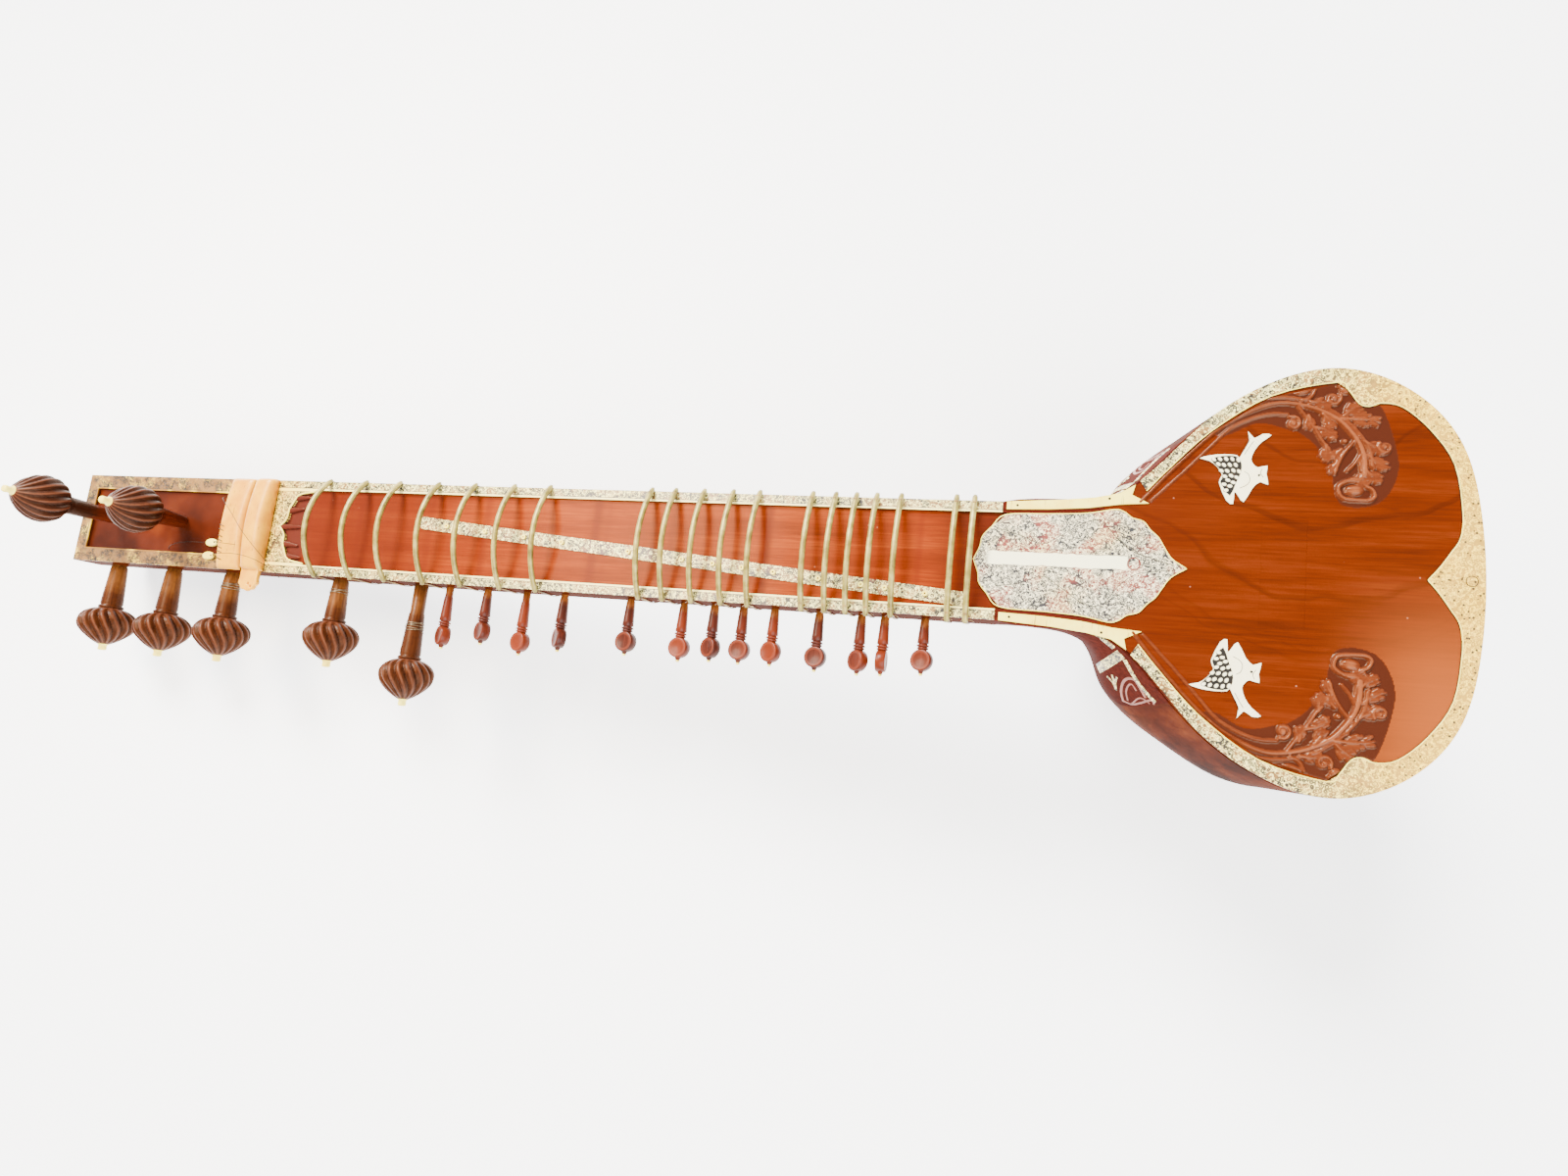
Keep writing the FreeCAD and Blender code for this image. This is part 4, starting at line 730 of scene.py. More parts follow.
def circle(count, sign=1):
    """Angles of a full turn in equal steps, the other way round for sign -1."""
    return [sign * 2 * math.pi * k / count for k in range(count)]


def flat_ring(x, y, z, radius, count):
    """Points of a level circle."""
    return [(x + radius * math.cos(a), y + radius * math.sin(a), z) for a in circle(count)]


def inlay(name, outline, bottom, top, material, bevel, holes=(), replaces=(), sides=(1,)):
    """Flat pieces cut to a plan outline, with a bevelled upper edge; sides lists the mirror images wanted."""
    data = bpy.data.curves.new(name, "CURVE")
    data.dimensions, data.fill_mode = "2D", "BOTH"
    data.extrude = (top - bottom) / 2 - bevel
    data.bevel_depth, data.bevel_resolution, data.offset = bevel, 2, -bevel
    for sign in sides:
        for ring in [outline] + list(holes):
            spline = data.splines.new("POLY")
            spline.points.add(len(ring) - 1)
            for point, (x, y) in zip(spline.points, ring):
                point.co = (x, sign * y, 0.0, 1.0)
            spline.use_cyclic_u = True
    flat = add_object(name + "_curve", data)
    bpy.context.view_layer.update()
    mesh = bpy.data.meshes.new_from_object(flat)
    bpy.data.objects.remove(flat)
    mesh.transform(TO_ROW @ Matrix.Translation((0, 0, (top + bottom) / 2)))
    mesh.materials.clear()
    mesh.materials.append(material)
    return settle(add_object(name, mesh), "instrument", replaces)


# ---------------------------------------------------------------- pegs

def peg_place(x, turn=0.0):
    """A side peg's own axes, with its Z out of the neck's side."""
    axes = Matrix(((1, 0, 0), (0, 0, -1), (0, 1, 0))).to_4x4()
    spot = Matrix.Translation((x, -neck_half(x), -PEG_DEPTH))
    return spot @ axes @ Matrix.Rotation(math.radians(turn), 4, "Z")


def turned(shape, profile, place, sides, slot=0, flute=None, caps=(True, True)):
    """A turned body from (distance, radius) pairs; flute(d, angle) scales a radius and gives its shading
    value, low in a flute for painted shade and high on a ridge for a painted highlight.
    """
    rows, wear, along = [], [], []
    for distance, radius in profile:
        ring, tone = [], []
        for angle in circle(sides):
            scale, lit_tone = flute(distance, angle) if flute else (1.0, 0.6)
            point = Vector((radius * scale * math.cos(angle), radius * scale * math.sin(angle), distance))
            ring.append(place @ point)
            tone.append(lit_tone)
        rows.append(ring)
        wear.append(tone)
        along.append([distance] * sides)
    shape.grid(rows, slot, wear=wear, along=along, caps=caps)


PEG_SHAFT, PEG_BULB_AT, STEM_RINGS = 5.5, 60.0, 7
# A knob's radius, and a bone tip's, along the peg; the knob's places are shares of its length.
KNOB = [(0, 8.6), (0.05, 13.2), (0.15, 18), (0.29, 21), (0.42, 21.5), (0.56, 20.4), (0.7, 17.2), (0.84, 12.4),
        (0.94, 7.8), (1, 4.4)]
TIP = [(-0.4, 4.4), (0.2, 4.3), (0.8, 3.3), (2.5, 3), (4.8, 3.3), (5.8, 2.9), (6.2, 1.6)]
# Turns of wire left on each side peg.
WINDINGS = [0, 0, 4, 3, 5]
FLUTES, FLUTE_DEPTH, FLUTE_TWIST = 16, 0.15, 0.75


def main_peg(name, place, out, reach, material, windings):
    """A melon peg: shaft, swelling stem, fluted knob with a slight twist, bone tip."""
    centre, start = PEG_BULB_AT + out, max(out, 0)
    low, high = centre - 17.2, centre + 18.4
    shape = Shape()
    stem = [(-reach + out, PEG_SHAFT), (start + 0.5, PEG_SHAFT), (start + 1.5, PEG_SHAFT + 0.6)]
    for i in range(STEM_RINGS):
        share = (i + 1) / STEM_RINGS
        at = start + 2.5 + share * (low - start - 7.5)
        wide = PEG_SHAFT + 0.7 + 2.0 * share
        stem += [(at - 0.9, wide - 0.12), (at, wide + 0.08)]
    stem += [(low - 3.0, 7.6), (low - 2.2, 9.0), (low - 0.9, 9.3), (low, 8.6)]
    turned(shape, stem, place, 32, caps=(True, False))
    span = high - low
    knob = plan_curve([(low + share * span, radius) for share, radius in KNOB], 5)

    def flute(distance, angle):
        share = (distance - low) / span
        fade = max(0.0, min(1.0, share / 0.12, (1.0 - share) / 0.10))
        ridge = abs(math.sin(FLUTES / 2 * (angle + FLUTE_TWIST * share))) ** 0.8
        # second value: shading, low in the flutes for painted shade, high on the ridges for painted
        # highlights
        return 1.0 - FLUTE_DEPTH * fade * (1.0 - ridge), 1.0 - fade * (1.0 - ridge)

    turned(shape, knob, place, FLUTES * 8, flute=flute, caps=(True, False))
    turned(shape, [(high + past, radius) for past, radius in TIP], place, 24, slot=1)
    if windings:
        wraps, per_turn = [], 20
        for k in range(windings * per_turn + 1):
            angle = 2 * math.pi * k / per_turn
            at = start + 9.0 + 1.7 * k / per_turn + 0.5 * math.sin(1.7 * angle)
            wide = PEG_SHAFT + 1.2 + 2.0 * (at - start) / (low - start)
            wraps.append(place @ Vector((wide * math.cos(angle), wide * math.sin(angle), at)))
        shape.tube(wraps, 0.28, slot=2, sides=5)
    return shape.piece(name + "_turned", [material, BONE_PALE, WIRE_PALE], "peg_wood", name, (name,))


DISC, DISC_HALF = 8.5, 4.0
# Radius of the collars below a small peg's disc, from the disc's edge.
COLLARS = [(-9, 4.4), (-5.2, 4.7), (-4.6, 3.6), (-4, 3.5), (-3.6, 4.8), (-2.6, 5), (-2.2, 3.7), (-1.8, 3.6),
           (-1.4, 4.5), (-0.6, 4.6), (0, 3.6), (1.2, 3)]


def small_peg(number, x, out, turn):
    """A sympathetic peg: tapered stem, turned collars, disc head with a pointed end and a bone bead."""
    name = "sympathetic_peg_%02d" % number
    place = peg_place(x, turn)
    centre = 36.0 + out
    base, end = centre - DISC, centre + DISC
    shape = Shape()
    start = max(out, 0)
    stem = [(-24.0 + min(out, 0), 3.0), (start + 0.5, 3.0), (start + 1.5, 3.4), (start + 6.0, 3.7)]
    turned(shape, stem + [(base + past, radius) for past, radius in COLLARS], place, 28)
    front = [(DISC + 0.1, 0.0), (DISC, DISC_HALF - 0.8), (DISC - 0.5, DISC_HALF - 0.15),
             (DISC - 1.2, DISC_HALF), (DISC - 2.2, DISC_HALF - 0.35), (0.0, DISC_HALF - 0.5)]
    section = [(radius, -thick) for radius, thick in reversed(front[1:])] + front
    sides = 40
    rows = [[place @ Vector((radius * math.cos(a), thick, centre + radius * math.sin(a)))
             for a in circle(sides)] for radius, thick in section]
    # shading: high on the disc's flat faces for a painted reflection, low on its rim for painted shade
    wear = [[0.9 if abs(thick) > DISC_HALF - 0.4 else 0.25] * sides for _, thick in section]
    shape.grid(rows, 0, wear=wear, along=[[40.0] * sides] * len(rows))
    turned(shape, [(end - 0.8, 2.9), (end + 0.6, 2.1), (end + 2.0, 1.5)], place, 20)
    turned(shape, [(end + 1.8, 1.2), (end + 2.3, 1.6), (end + 3.0, 1.5), (end + 3.6, 0.8)], place, 16, slot=1)
    return shape.piece(name + "_turned", [SMALL_PEG, BONE_PALE], "peg_wood", name, (name,))


def make_pegs():
    for index, (x, out) in enumerate(SIDE_PEGS, start=1):
        main_peg("side_peg_%d" % index, peg_place(x), out, 75.0, PEG_SIDE, WINDINGS[index - 1])
    for index, (x, out) in enumerate(FRONT_PEGS, start=1):
        place = Matrix.Translation((x, 0, -RECESS))
        main_peg("front_peg_%d" % index, place, out, 45.0 + out, PEG_FRONT, 0)
    for index, (x, out, turn) in enumerate(SMALL_PEGS, start=1):
        small_peg(index, x, out, turn)


# ---------------------------------------------------------------- frets

FRET_WIDE, FRET_HIGH = 2.3, 1.9
# Rise of the arch at the first fret, and how much of it is lost by the last.
FRET_RISE, RISE_LOSS = 15.5, 6.0
STRAND = 0.33
# How far a thread end may reach towards the next fret, as a share of the gap, and the gap where there is
# no next fret.
TAIL_SHARE, OPEN_GAP = 0.28, 40.0


def fret(number, x):
    """An arched oval rod, four turns of thread round the neck, a knot and two loose thread ends."""
    name = "fret_%02d" % number
    share = (x - FRET_PLACES[0]) / (FRET_PLACES[-1] - FRET_PLACES[0])
    rise = FRET_RISE - RISE_LOSS * share
    foot = neck_half(x) - 1.2
    arc = (foot * foot + rise * rise) / (2 * rise)
    end = math.asin(foot / arc) + math.radians(3.0)
    shape = Shape()
    steps = 48
    path, reach = [], []
    for k in range(steps + 1):
        angle = -end + 2 * end * k / steps
        path.append((x, arc * math.sin(angle), FRET_HIGH + rise - arc + arc * math.cos(angle)))
        near_end = min(k, steps - k)
        reach.append(FRET_HIGH * (0.72, 0.93, 1.0)[min(near_end, 2)])
    shape.tube(path, reach, sides=16, oval=FRET_WIDE / FRET_HIGH)
    shape.clamp_floor(0, 0.07)

    side = neck_half(x) + 0.3 + STRAND
    drop = NECK_ROUND + 0.3 + STRAND
    for strand in range(4):
        at = x + (strand - 1.5) * 2 * STRAND
        slant = 0.25 * math.sin(strand * 2.1 + number)
        loop = [(at, side - 3.6, FRET_HIGH * 2 + 1.0), (at, side - 0.9, 2.6), (at, side, 0.8),
                (at, side, -8.0), (at + slant, side, -NECK_SIDE)]
        for k in range(1, 18):
            angle = math.pi * k / 18
            loop.append((at + slant, side * math.cos(angle), -NECK_SIDE - drop * math.sin(angle)))
        loop += [(at + slant, -side, -NECK_SIDE), (at, -side, -8.0), (at, -side, 0.8), (at, -side + 0.9, 2.6),
                 (at, -side + 3.6, FRET_HIGH * 2 + 1.0)]
        shape.tube(curve_through(loop, 2), STRAND, slot=1, sides=6)
    knot = []
    for k in range(15):
        angle = 2 * math.pi * k / 5
        knot.append((x + 1.5 * math.cos(angle), -side - 0.7 + 0.25 * math.sin(3 * angle),
                     -1.6 + 0.9 * math.sin(angle)))
    shape.tube(knot, STRAND, slot=1, sides=6)
    chance = random.Random(number)
    for way in (-1, 1):
        neighbour = number - 1 + way
        gap = abs(FRET_PLACES[neighbour] - x) if 0 <= neighbour < len(FRET_PLACES) else OPEN_GAP
        far = min(4.0 + 5.0 * chance.random(), TAIL_SHARE * gap)
        low = -2.5 - 5.0 * chance.random()
        tail = [(x, -side - 0.6, -1.6), (x + way * 0.35 * far, -side - 0.9, -1.4),
                (x + way * 0.7 * far, -side - 0.8, 0.5 * low),
                (x + way * far, -side - 0.5 - chance.random(), low)]
        shape.tube(curve_through(tail, 4), 0.24, slot=1, sides=5)
    return shape.piece(name + "_tied", [FRET_METAL, THREAD], "fret_brass", name, (name,))


# ---------------------------------------------------------------- nut and string guide

GUIDE_START, GUIDE_LONG, GUIDE_RISE = -1047.0, 25.0, 8.5
NUT_START, NUT_LONG = -1016.0, 20.0
STRING_CUTS = (-3.0, -7.0, -13.0, -17.0, -23.5, -27.5, -34.0)
BAR_EDGE = 2.0


def bar_top(start, rise, y):
    """Height of a bar's arched top at y."""
    half, drop = neck_half(start) - 0.2, 4.5
    radius = (half * half + drop * drop) / (2 * drop)
    return rise - radius + math.sqrt(radius * radius - y * y)


def arched_bar(name, start, length, rise):
    """A bone bar across the neck with an arched top and rounded long edges."""
    half = neck_half(start) - 0.2
    section = [(0.0, 0.05), (0.0, 0.55), (0.05, 0.8), (0.14, 0.94), (0.28, 1.0), (0.5, 1.02), (0.72, 1.0),
               (0.86, 0.94), (0.95, 0.8), (1.0, 0.55), (1.0, 0.05)]
    rows, count = [], 36
    for k in range(count + 1):
        y = -half + 2 * half * k / count
        pinch = 1.0 - 0.35 * max(0.0, (abs(y) - half + BAR_EDGE) / BAR_EDGE) ** 2
        top = bar_top(start, rise, y) * pinch
        rows.append([(start + a * length, y, b * top) for a, b in section])
    shape = Shape()
    shape.grid(rows, 0, wrap=True, caps=(True, True))
    return shape.piece(name + "_bar", [BONE_PEACH], "bone", replaces=(name,))


def nut_ear(start, length):
    """Outline of the ear that hangs past the neck's lower side, with lobes round its end."""
    half = neck_half(start) - 0.2
    middle, end = start + length / 2, -half - 12.0
    outline = [(start + 0.4, -half + 3.0), (start + 0.4, end + 4)]
    for lobe in range(5):
        centre = math.pi + math.pi * (lobe + 0.5) / 5
        for k in range(-3, 4):
            angle = centre + k * math.pi / 36
            bulge = 9.6 + 1.1 * math.cos(k * math.pi / 7)
            outline.append((middle + bulge * math.cos(angle), end + 3 + bulge * math.sin(angle)))
    outline += [(start + length - 0.4, end + 4), (start + length - 0.4, -half + 3.0)]
    holes = [[(middle + dx + 1.1 * math.cos(a), end + dy + 1.1 * math.sin(a)) for a in circle(12)]
             for dx, dy in ((1.0, -0.5), (4.0, -3.0))]
    return outline, holes


def make_nut_and_guide():
    arched_bar("string_guide", GUIDE_START, GUIDE_LONG, GUIDE_RISE)
    arched_bar("nut", NUT_START, NUT_LONG, 12.0)
    outline, holes = nut_ear(NUT_START, NUT_LONG)
    inlay("nut_ear", outline, 1.0, 4.5, BONE_PEACH, 0.8, holes=holes)
    cuts = Shape()
    for y in STRING_CUTS:
        line = [(GUIDE_START + 2.0 + 3.0 * k, y - k, bar_top(GUIDE_START, GUIDE_RISE, y - k) * low + 0.1)
                for k, low in enumerate((0.94, 1.0, 1.0))]
        cuts.tube(line, 0.4, sides=5)
    cuts.piece("string_cuts", [INK_AND_SHADE], "bone")


# ---------------------------------------------------------------- relief on the face

# Inner edge of the rim, as far as the carving reaches it.
RIM_EDGE_X = [-223, -207, -178, -138, -95, -87, -80, -73, -66, -52]
RIM_EDGE_Y = [55.5, 74, 104.5, 132, 142.5, 136.5, 126.5, 124.5, 127, 124]
# Outline of the carved ground.
GROUND = [
    (-184, 109), (-160, 128), (-135, 142), (-119, 148), (-94, 146), (-84, 139), (-80, 130), (-66, 126),
    (-56, 98), (-54, 74), (-66, 53), (-91, 52), (-98, 80), (-108, 95), (-120, 105), (-128, 107), (-147, 111),
    (-169, 101),
]
# Ridges: half width and height at both ends, depth of the groove, and the line.
RIDGES = [
    (1.3, 2.3, 1.9, 3, 0, [(-225, 49), (-205, 73), (-183, 97), (-165, 113), (-150, 121), (-136, 126),
     (-123, 126), (-108, 122), (-95, 115), (-86, 106), (-79, 95), (-76, 84), (-76, 73)]),
    (1.3, 1.7, 1.4, 2.4, 0, [(-200, 86), (-184, 103), (-164, 120), (-148, 129), (-132, 131), (-116, 129),
     (-103, 124), (-90, 115), (-80, 104), (-73, 92), (-71, 80)]),
    (1, 1.5, 1.2, 2, 0, [(-218, 50), (-196, 73), (-178, 93), (-166, 106), (-152, 114), (-139, 118),
     (-127, 118)]),
    (1.3, 3.4, 1.4, 2.4, 0, [(-178, 112), (-162, 126), (-148, 133), (-136, 136), (-127, 138)]),
    (1, 1, 1.2, 1.4, 0, [(-138, 140), (-122, 144), (-108, 145), (-92, 142)]),
    (1.3, 1.6, 2.2, 2.4, 0, [(-120, 124), (-114, 115), (-108, 106), (-103, 97), (-99, 92)]),
    (1.2, 1.4, 2, 2.4, 0, [(-109, 137), (-112, 131), (-118, 128)]),
    (1.3, 1.5, 2.2, 2.6, 0, [(-80, 101), (-86, 94), (-90, 88), (-93, 81), (-95, 75)]),
    (1, 1.2, 2, 2.2, 0, [(-78, 90), (-82, 82), (-87, 76)]),
    (1, 1.2, 2, 2.2, 0, [(-79, 86), (-78, 77), (-77, 74)]),
    (1.7, 1.5, 2.6, 2.8, 0.2, [(-76, 73), (-80, 69), (-86, 69), (-92, 65), (-92, 60), (-89, 56), (-81, 55),
     (-73, 55), (-69, 58), (-71, 63), (-75, 65)]),
]
# Leaves: foot, heading, length, half width, bend and number of lobes on each side.
LEAVES = [
    ((-113, 117), -1.2, 10, 3.6, -0.8, 2), ((-108, 108), -0.2, 17, 4.4, -0.9, 3),
    ((-104, 118), -0.7, 13, 4.2, -0.6, 2), ((-101, 95), -1.7, 12, 4.2, 0.9, 3),
    ((-91, 92), -2.4, 9, 3.6, 0.6, 2), ((-94, 82), -2.2, 8, 3.4, 0.6, 2), ((-74, 88), -0.9, 17, 4.6, 0.8, 3),
    ((-75, 77), -0.9, 13, 4.2, 0.7, 3), ((-76, 98), -0.6, 16, 4.6, 0.3, 3),
    ((-93, 114), 0.15, 27, 6.2, -0.45, 4), ((-90, 117), 0.8, 14, 5, -0.5, 3),
    ((-112, 127), 0.1, 16, 3.6, -0.4, 2), ((-136, 137), 0.25, 20, 5.2, 0, 3),
    ((-84, 70), 0.1, 10, 5, -0.3, 2),
]
# Curls: centre, radius, first angle and way round.
CURLS = [
    ((-63, 94), 5, 2.4, 1), ((-97, 130), 5.2, 0.6, -1), ((-90, 137), 4.2, 2.6, -1), ((-123, 111), 5.4, 2, -1),
]
# Buds: centre, half length, half width, direction.
BUDS = [
    ((-117, 137), 7, 4, 0.25), ((-90, 137), 3.2, 2.8, 0), ((-123, 111), 3, 2.6, 1.4),
    ((-82, 62), 6.5, 4.2, 0.1), ((-97, 100), 2.6, 1.8, 0.8), ((-89, 98), 2.4, 1.8, 0.2),
    ((-96, 86), 2.2, 1.6, 1.2),
]
# Height of the relief, and the grid that it is carved on.
RELIEF, CELL = 3.0, 0.7


def field(x_span, y_span, cell):
    """Places of a grid over a plan rectangle, along each side and for each point, and heights of nothing."""
    xs, ys = np.arange(*x_span, cell), np.arange(*y_span, cell)
    gx, gy = np.meshgrid(xs, ys, indexing="ij")
    return xs, ys, gx, gy, np.zeros_like(gx)


def stroke(height, grid_x, grid_y, points, wide, tall, groove=0.0):
    """Raises a rounded ridge along the points; wide and tall are its half width and height at both ends."""
    count = len(points) - 1
    for i in range(count):
        (ax, ay), (bx, by) = points[i], points[i + 1]
        w0, w1 = (wide[0] + (wide[1] - wide[0]) * (i + k) / count for k in (0, 1))
        t0, t1 = (tall[0] + (tall[1] - tall[0]) * (i + k) / count for k in (0, 1))
        dx, dy = bx - ax, by - ay
        share = np.clip(((grid_x - ax) * dx + (grid_y - ay) * dy) / (dx * dx + dy * dy + 1e-9), 0, 1)
        away = np.hypot(grid_x - ax - share * dx, grid_y - ay - share * dy)
        width = w0 + (w1 - w0) * share
        top = t0 + (t1 - t0) * share
        ridge = top * np.sqrt(np.clip(1 - (away / width) ** 2, 0, None))
        if groove:
            ridge -= groove * top * np.exp(-(away / (0.28 * width)) ** 2)
        np.maximum(height, ridge, out=height)


def onward(point, reach, turn):
    """The point that lies a reach away from another in the direction turn."""
    return point[0] + reach * math.cos(turn), point[1] + reach * math.sin(turn)


def leaf(height, gx, gy, base, heading, length, wide, bend, lobes):
    """A leaf with a curved midrib and hollowed lobes that turn up at their tips."""
    rib, steps = [base], 8
    for k in range(steps):
        rib.append(onward(rib[-1], length / steps, heading + bend * k / steps))
    for lobe in range(lobes):
        t = (lobe + 0.9) / (lobes + 0.4)
        at = rib[round(t * steps * 0.8)]
        reach = wide * (1.25 - 0.45 * t)
        for way in (-1, 1):
            turn = heading + bend * t + way * (1.05 - 0.35 * t)
            knee = onward(at, 0.6 * reach, turn)
            tip = onward(knee, 0.7 * reach, turn - way * 0.5)
            stroke(height, gx, gy, [at, knee, tip], (2.1, 1.2), (1.5, 2.7), groove=0.45)
    stroke(height, gx, gy, rib, (1.5, 0.9), (2.6, 2.0))


def bud(height, gx, gy, centre, long, wide, direction):
    """A rounded bud with a groove along it."""
    dx, dy = gx - centre[0], gy - centre[1]
    u = dx * math.cos(direction) + dy * math.sin(direction)
    v = dy * math.cos(direction) - dx * math.sin(direction)
    dome = 2.8 * np.sqrt(np.clip(1 - (u / long) ** 2 - (v / wide) ** 2, 0, None))
    dome -= 0.5 * np.exp(-(v / (0.16 * wide)) ** 2) * (dome > 1.0)
    np.maximum(height, dome, out=height)


def inside_outline(gx, gy, outline):
    """True where the grid lies inside the closed outline."""
    within = np.zeros(gx.shape, bool)
    for (ax, ay), (bx, by) in zip(outline, outline[1:] + outline[:1]):
        if ay != by:
            crosses = (ay > gy) != (by > gy)
            within ^= crosses & (gx < ax + (gy - ay) * (bx - ax) / (by - ay))
    return within


def volute(height, gx, gy, centre, radius, start, way):
    """A curl that winds in to a raised eye."""
    points = []
    for k in range(14):
        t = k / 13
        points.append(onward(centre, radius * (1 - 0.7 * t), start + way * t * 1.2 * 2 * math.pi))
    stroke(height, gx, gy, points, (1.4, 1.2), (2.6, 2.2))
    stroke(height, gx, gy, [centre, (centre[0] + 0.1, centre[1])], (1.4, 1.4), (2.8, 2.8))


def height_piece(name, xs, ys, sign, height, floor, material, slot, replaces=(), shade=None):
    """A piece whose top is a height field over the plan; cells where the height is nothing are left out."""
    kept = height > 0
    shade = np.ones_like(height) if shade is None else shade
    shape = Shape()
    number = -np.ones(height.shape, int)
    for i in range(len(xs) - 1):
        for j in range(len(ys) - 1):
            if not kept[i:i + 2, j:j + 2].any():
                continue
            corners = [(i, j), (i + 1, j), (i + 1, j + 1), (i, j + 1)]
            for a, b in corners:
                if number[a, b] < 0:
                    number[a, b] = len(shape.points)
                    lift = height[a, b] if kept[a, b] else -0.25
                    shape.points.append(Vector((xs[a], sign * ys[b], floor + lift)))
                    # shading from the height: the carved wood paints its crests lighter from it
                    shape.wear.append(float(min(1.0, max(0.0, height[a, b]) / (0.9 * RELIEF))))
                    shape.along.append(float(shade[a, b]))
            if sign < 0:
                corners.reverse()
            shape.add_face(tuple(int(number[corner]) for corner in corners), 0)
    return shape.piece(name, [material], slot, replaces=replaces)


def make_relief(tag, sign):
    """Carved foliage of one shoulder as a height field over the face, cut off at the rim."""
    xs, ys, gx, gy, height = field((-230.0, -50.0), (44.0, 149.0), CELL)
    for w0, w1, t0, t1, groove, points in RIDGES:
        stroke(height, gx, gy, plan_curve(points, 4), (w0, w1), (t0, t1), groove)
    for base, heading, length, wide, bend, lobes in LEAVES:
        leaf(height, gx, gy, base, heading, length, wide, bend, lobes)
    for centre, radius, start, way in CURLS:
        volute(height, gx, gy, centre, radius, start, way)
    for centre, long, wide, direction in BUDS:
        bud(height, gx, gy, centre, long, wide, direction)
    height *= RELIEF / height.max()
    middle = height[1:-1, 1:-1]
    around = height[:-2, 1:-1] + height[2:, 1:-1] + height[1:-1, :-2] + height[1:-1, 2:]
    height[1:-1, 1:-1] = (6 * middle + around) / 10
    within = inside_outline(gx, gy, plan_curve(GROUND, 4, closed=True)).astype(float)
    shade = within.copy()
    for _ in range(16):
        shade[1:-1, 1:-1] = (shade[:-2, 1:-1] + shade[2:, 1:-1] + shade[1:-1, :-2] + shade[1:-1, 2:]) / 4
    shade = np.maximum(shade, np.clip(height / 0.6, 0, 1))
    height = np.where(height > 0.06, height, 0.06 * within)
    edge = np.interp(gx, RIM_EDGE_X, RIM_EDGE_Y) - 0.6
    near = np.clip((edge - gy) / 1.6, 0, 1)
    height *= near * near * (3 - 2 * near)
    height_piece("foliage_" + tag, xs, ys, sign, height, -SKIN, CARVED, "red_wood", ("face_carvings",), shade)


# Ridges between the hollowed petals beside the nut: from the cusp of the sheet to where they run out.
PETAL_RIDGES = [
    ((-986, 0), (-963, 0.5)), ((-979, 16), (-966, 17.5)), ((-979, -16), (-966, -17.5)),
    ((-973.5, 28), (-961, 28.5)), ((-973.5, -28), (-961, -28.5)),
]


def make_petals():
    xs, ys, gx, gy, height = field((-990.0, -950.0), (-36.0, 36.0), 0.5)
    for start, end in PETAL_RIDGES:
        stroke(height, gx, gy, [start, end], (2.6, 0.8), (1.1, 0.2))
    height_piece("nut_petals", xs, ys, 1, height, -SKIN - 0.05, NECK_BOARD, "red_wood")


# ---------------------------------------------------------------- inlays

BIRD = [
    (-185.5, 83.5), (-178, 86), (-168.5, 87), (-160, 86.5), (-158, 84.5), (-155.5, 90.5), (-152, 97),
    (-153, 105), (-148.5, 99.5), (-143, 103), (-137, 102), (-143.5, 96.5), (-148, 90), (-150, 83.5),
    (-148.5, 80), (-145.5, 77.5), (-139, 79), (-139.5, 73), (-138, 64.5), (-143.5, 66.5), (-148.5, 61.5),
    (-154, 51), (-158, 55.5), (-160.5, 58.5), (-161, 49.5), (-166, 52), (-171.5, 65.5), (-169.5, 71),
    (-173, 77), (-178.5, 81.5),
]
# Feather scales of a wing, and the patch of ink that shows between them.
WING_PATCH = [
    (-163.5, 55.5), (-168.5, 62), (-170.5, 66), (-168.8, 71), (-172.5, 77), (-177.5, 82.5), (-173, 84.8),
    (-166, 85.8), (-159.5, 85), (-156.5, 80), (-156.8, 73), (-159.5, 66),
]
SCALES = [
    (-166.5, 59.5), (-164, 62.8), (-168, 64), (-165.5, 67.2), (-161.8, 65.6), (-167.6, 70), (-163.4, 70.6),
    (-159.6, 69.4), (-170.2, 74.2), (-166.2, 74.2), (-162, 74.6), (-158.2, 74), (-172.4, 79.2),
    (-168.6, 78.6), (-164.6, 78.8), (-160.6, 78.8), (-175.6, 82.6), (-171.4, 83), (-167.2, 83.2),
    (-163, 83.2), (-158.9, 82.6),
]
# Engraved strokes of a bird.
BIRD_MARKS = [
    [(-157, 61.5), (-152.5, 64), (-150.5, 67.5), (-151.5, 72), (-154.5, 74)],
    [(-142.5, 76.5), (-143.5, 73), (-141.5, 70)],
    [(-156.5, 88), (-153.5, 94), (-151.5, 99.5)],
    [(-154.8, 87), (-151.8, 92.5), (-149, 97)],
]


# A bird's eye and its radius, and the middle that the wing's scales turn round.
EYE, EYE_RADIUS, WING_MIDDLE = (-144.5, 71.5), 0.9, (-150.0, 62.0)


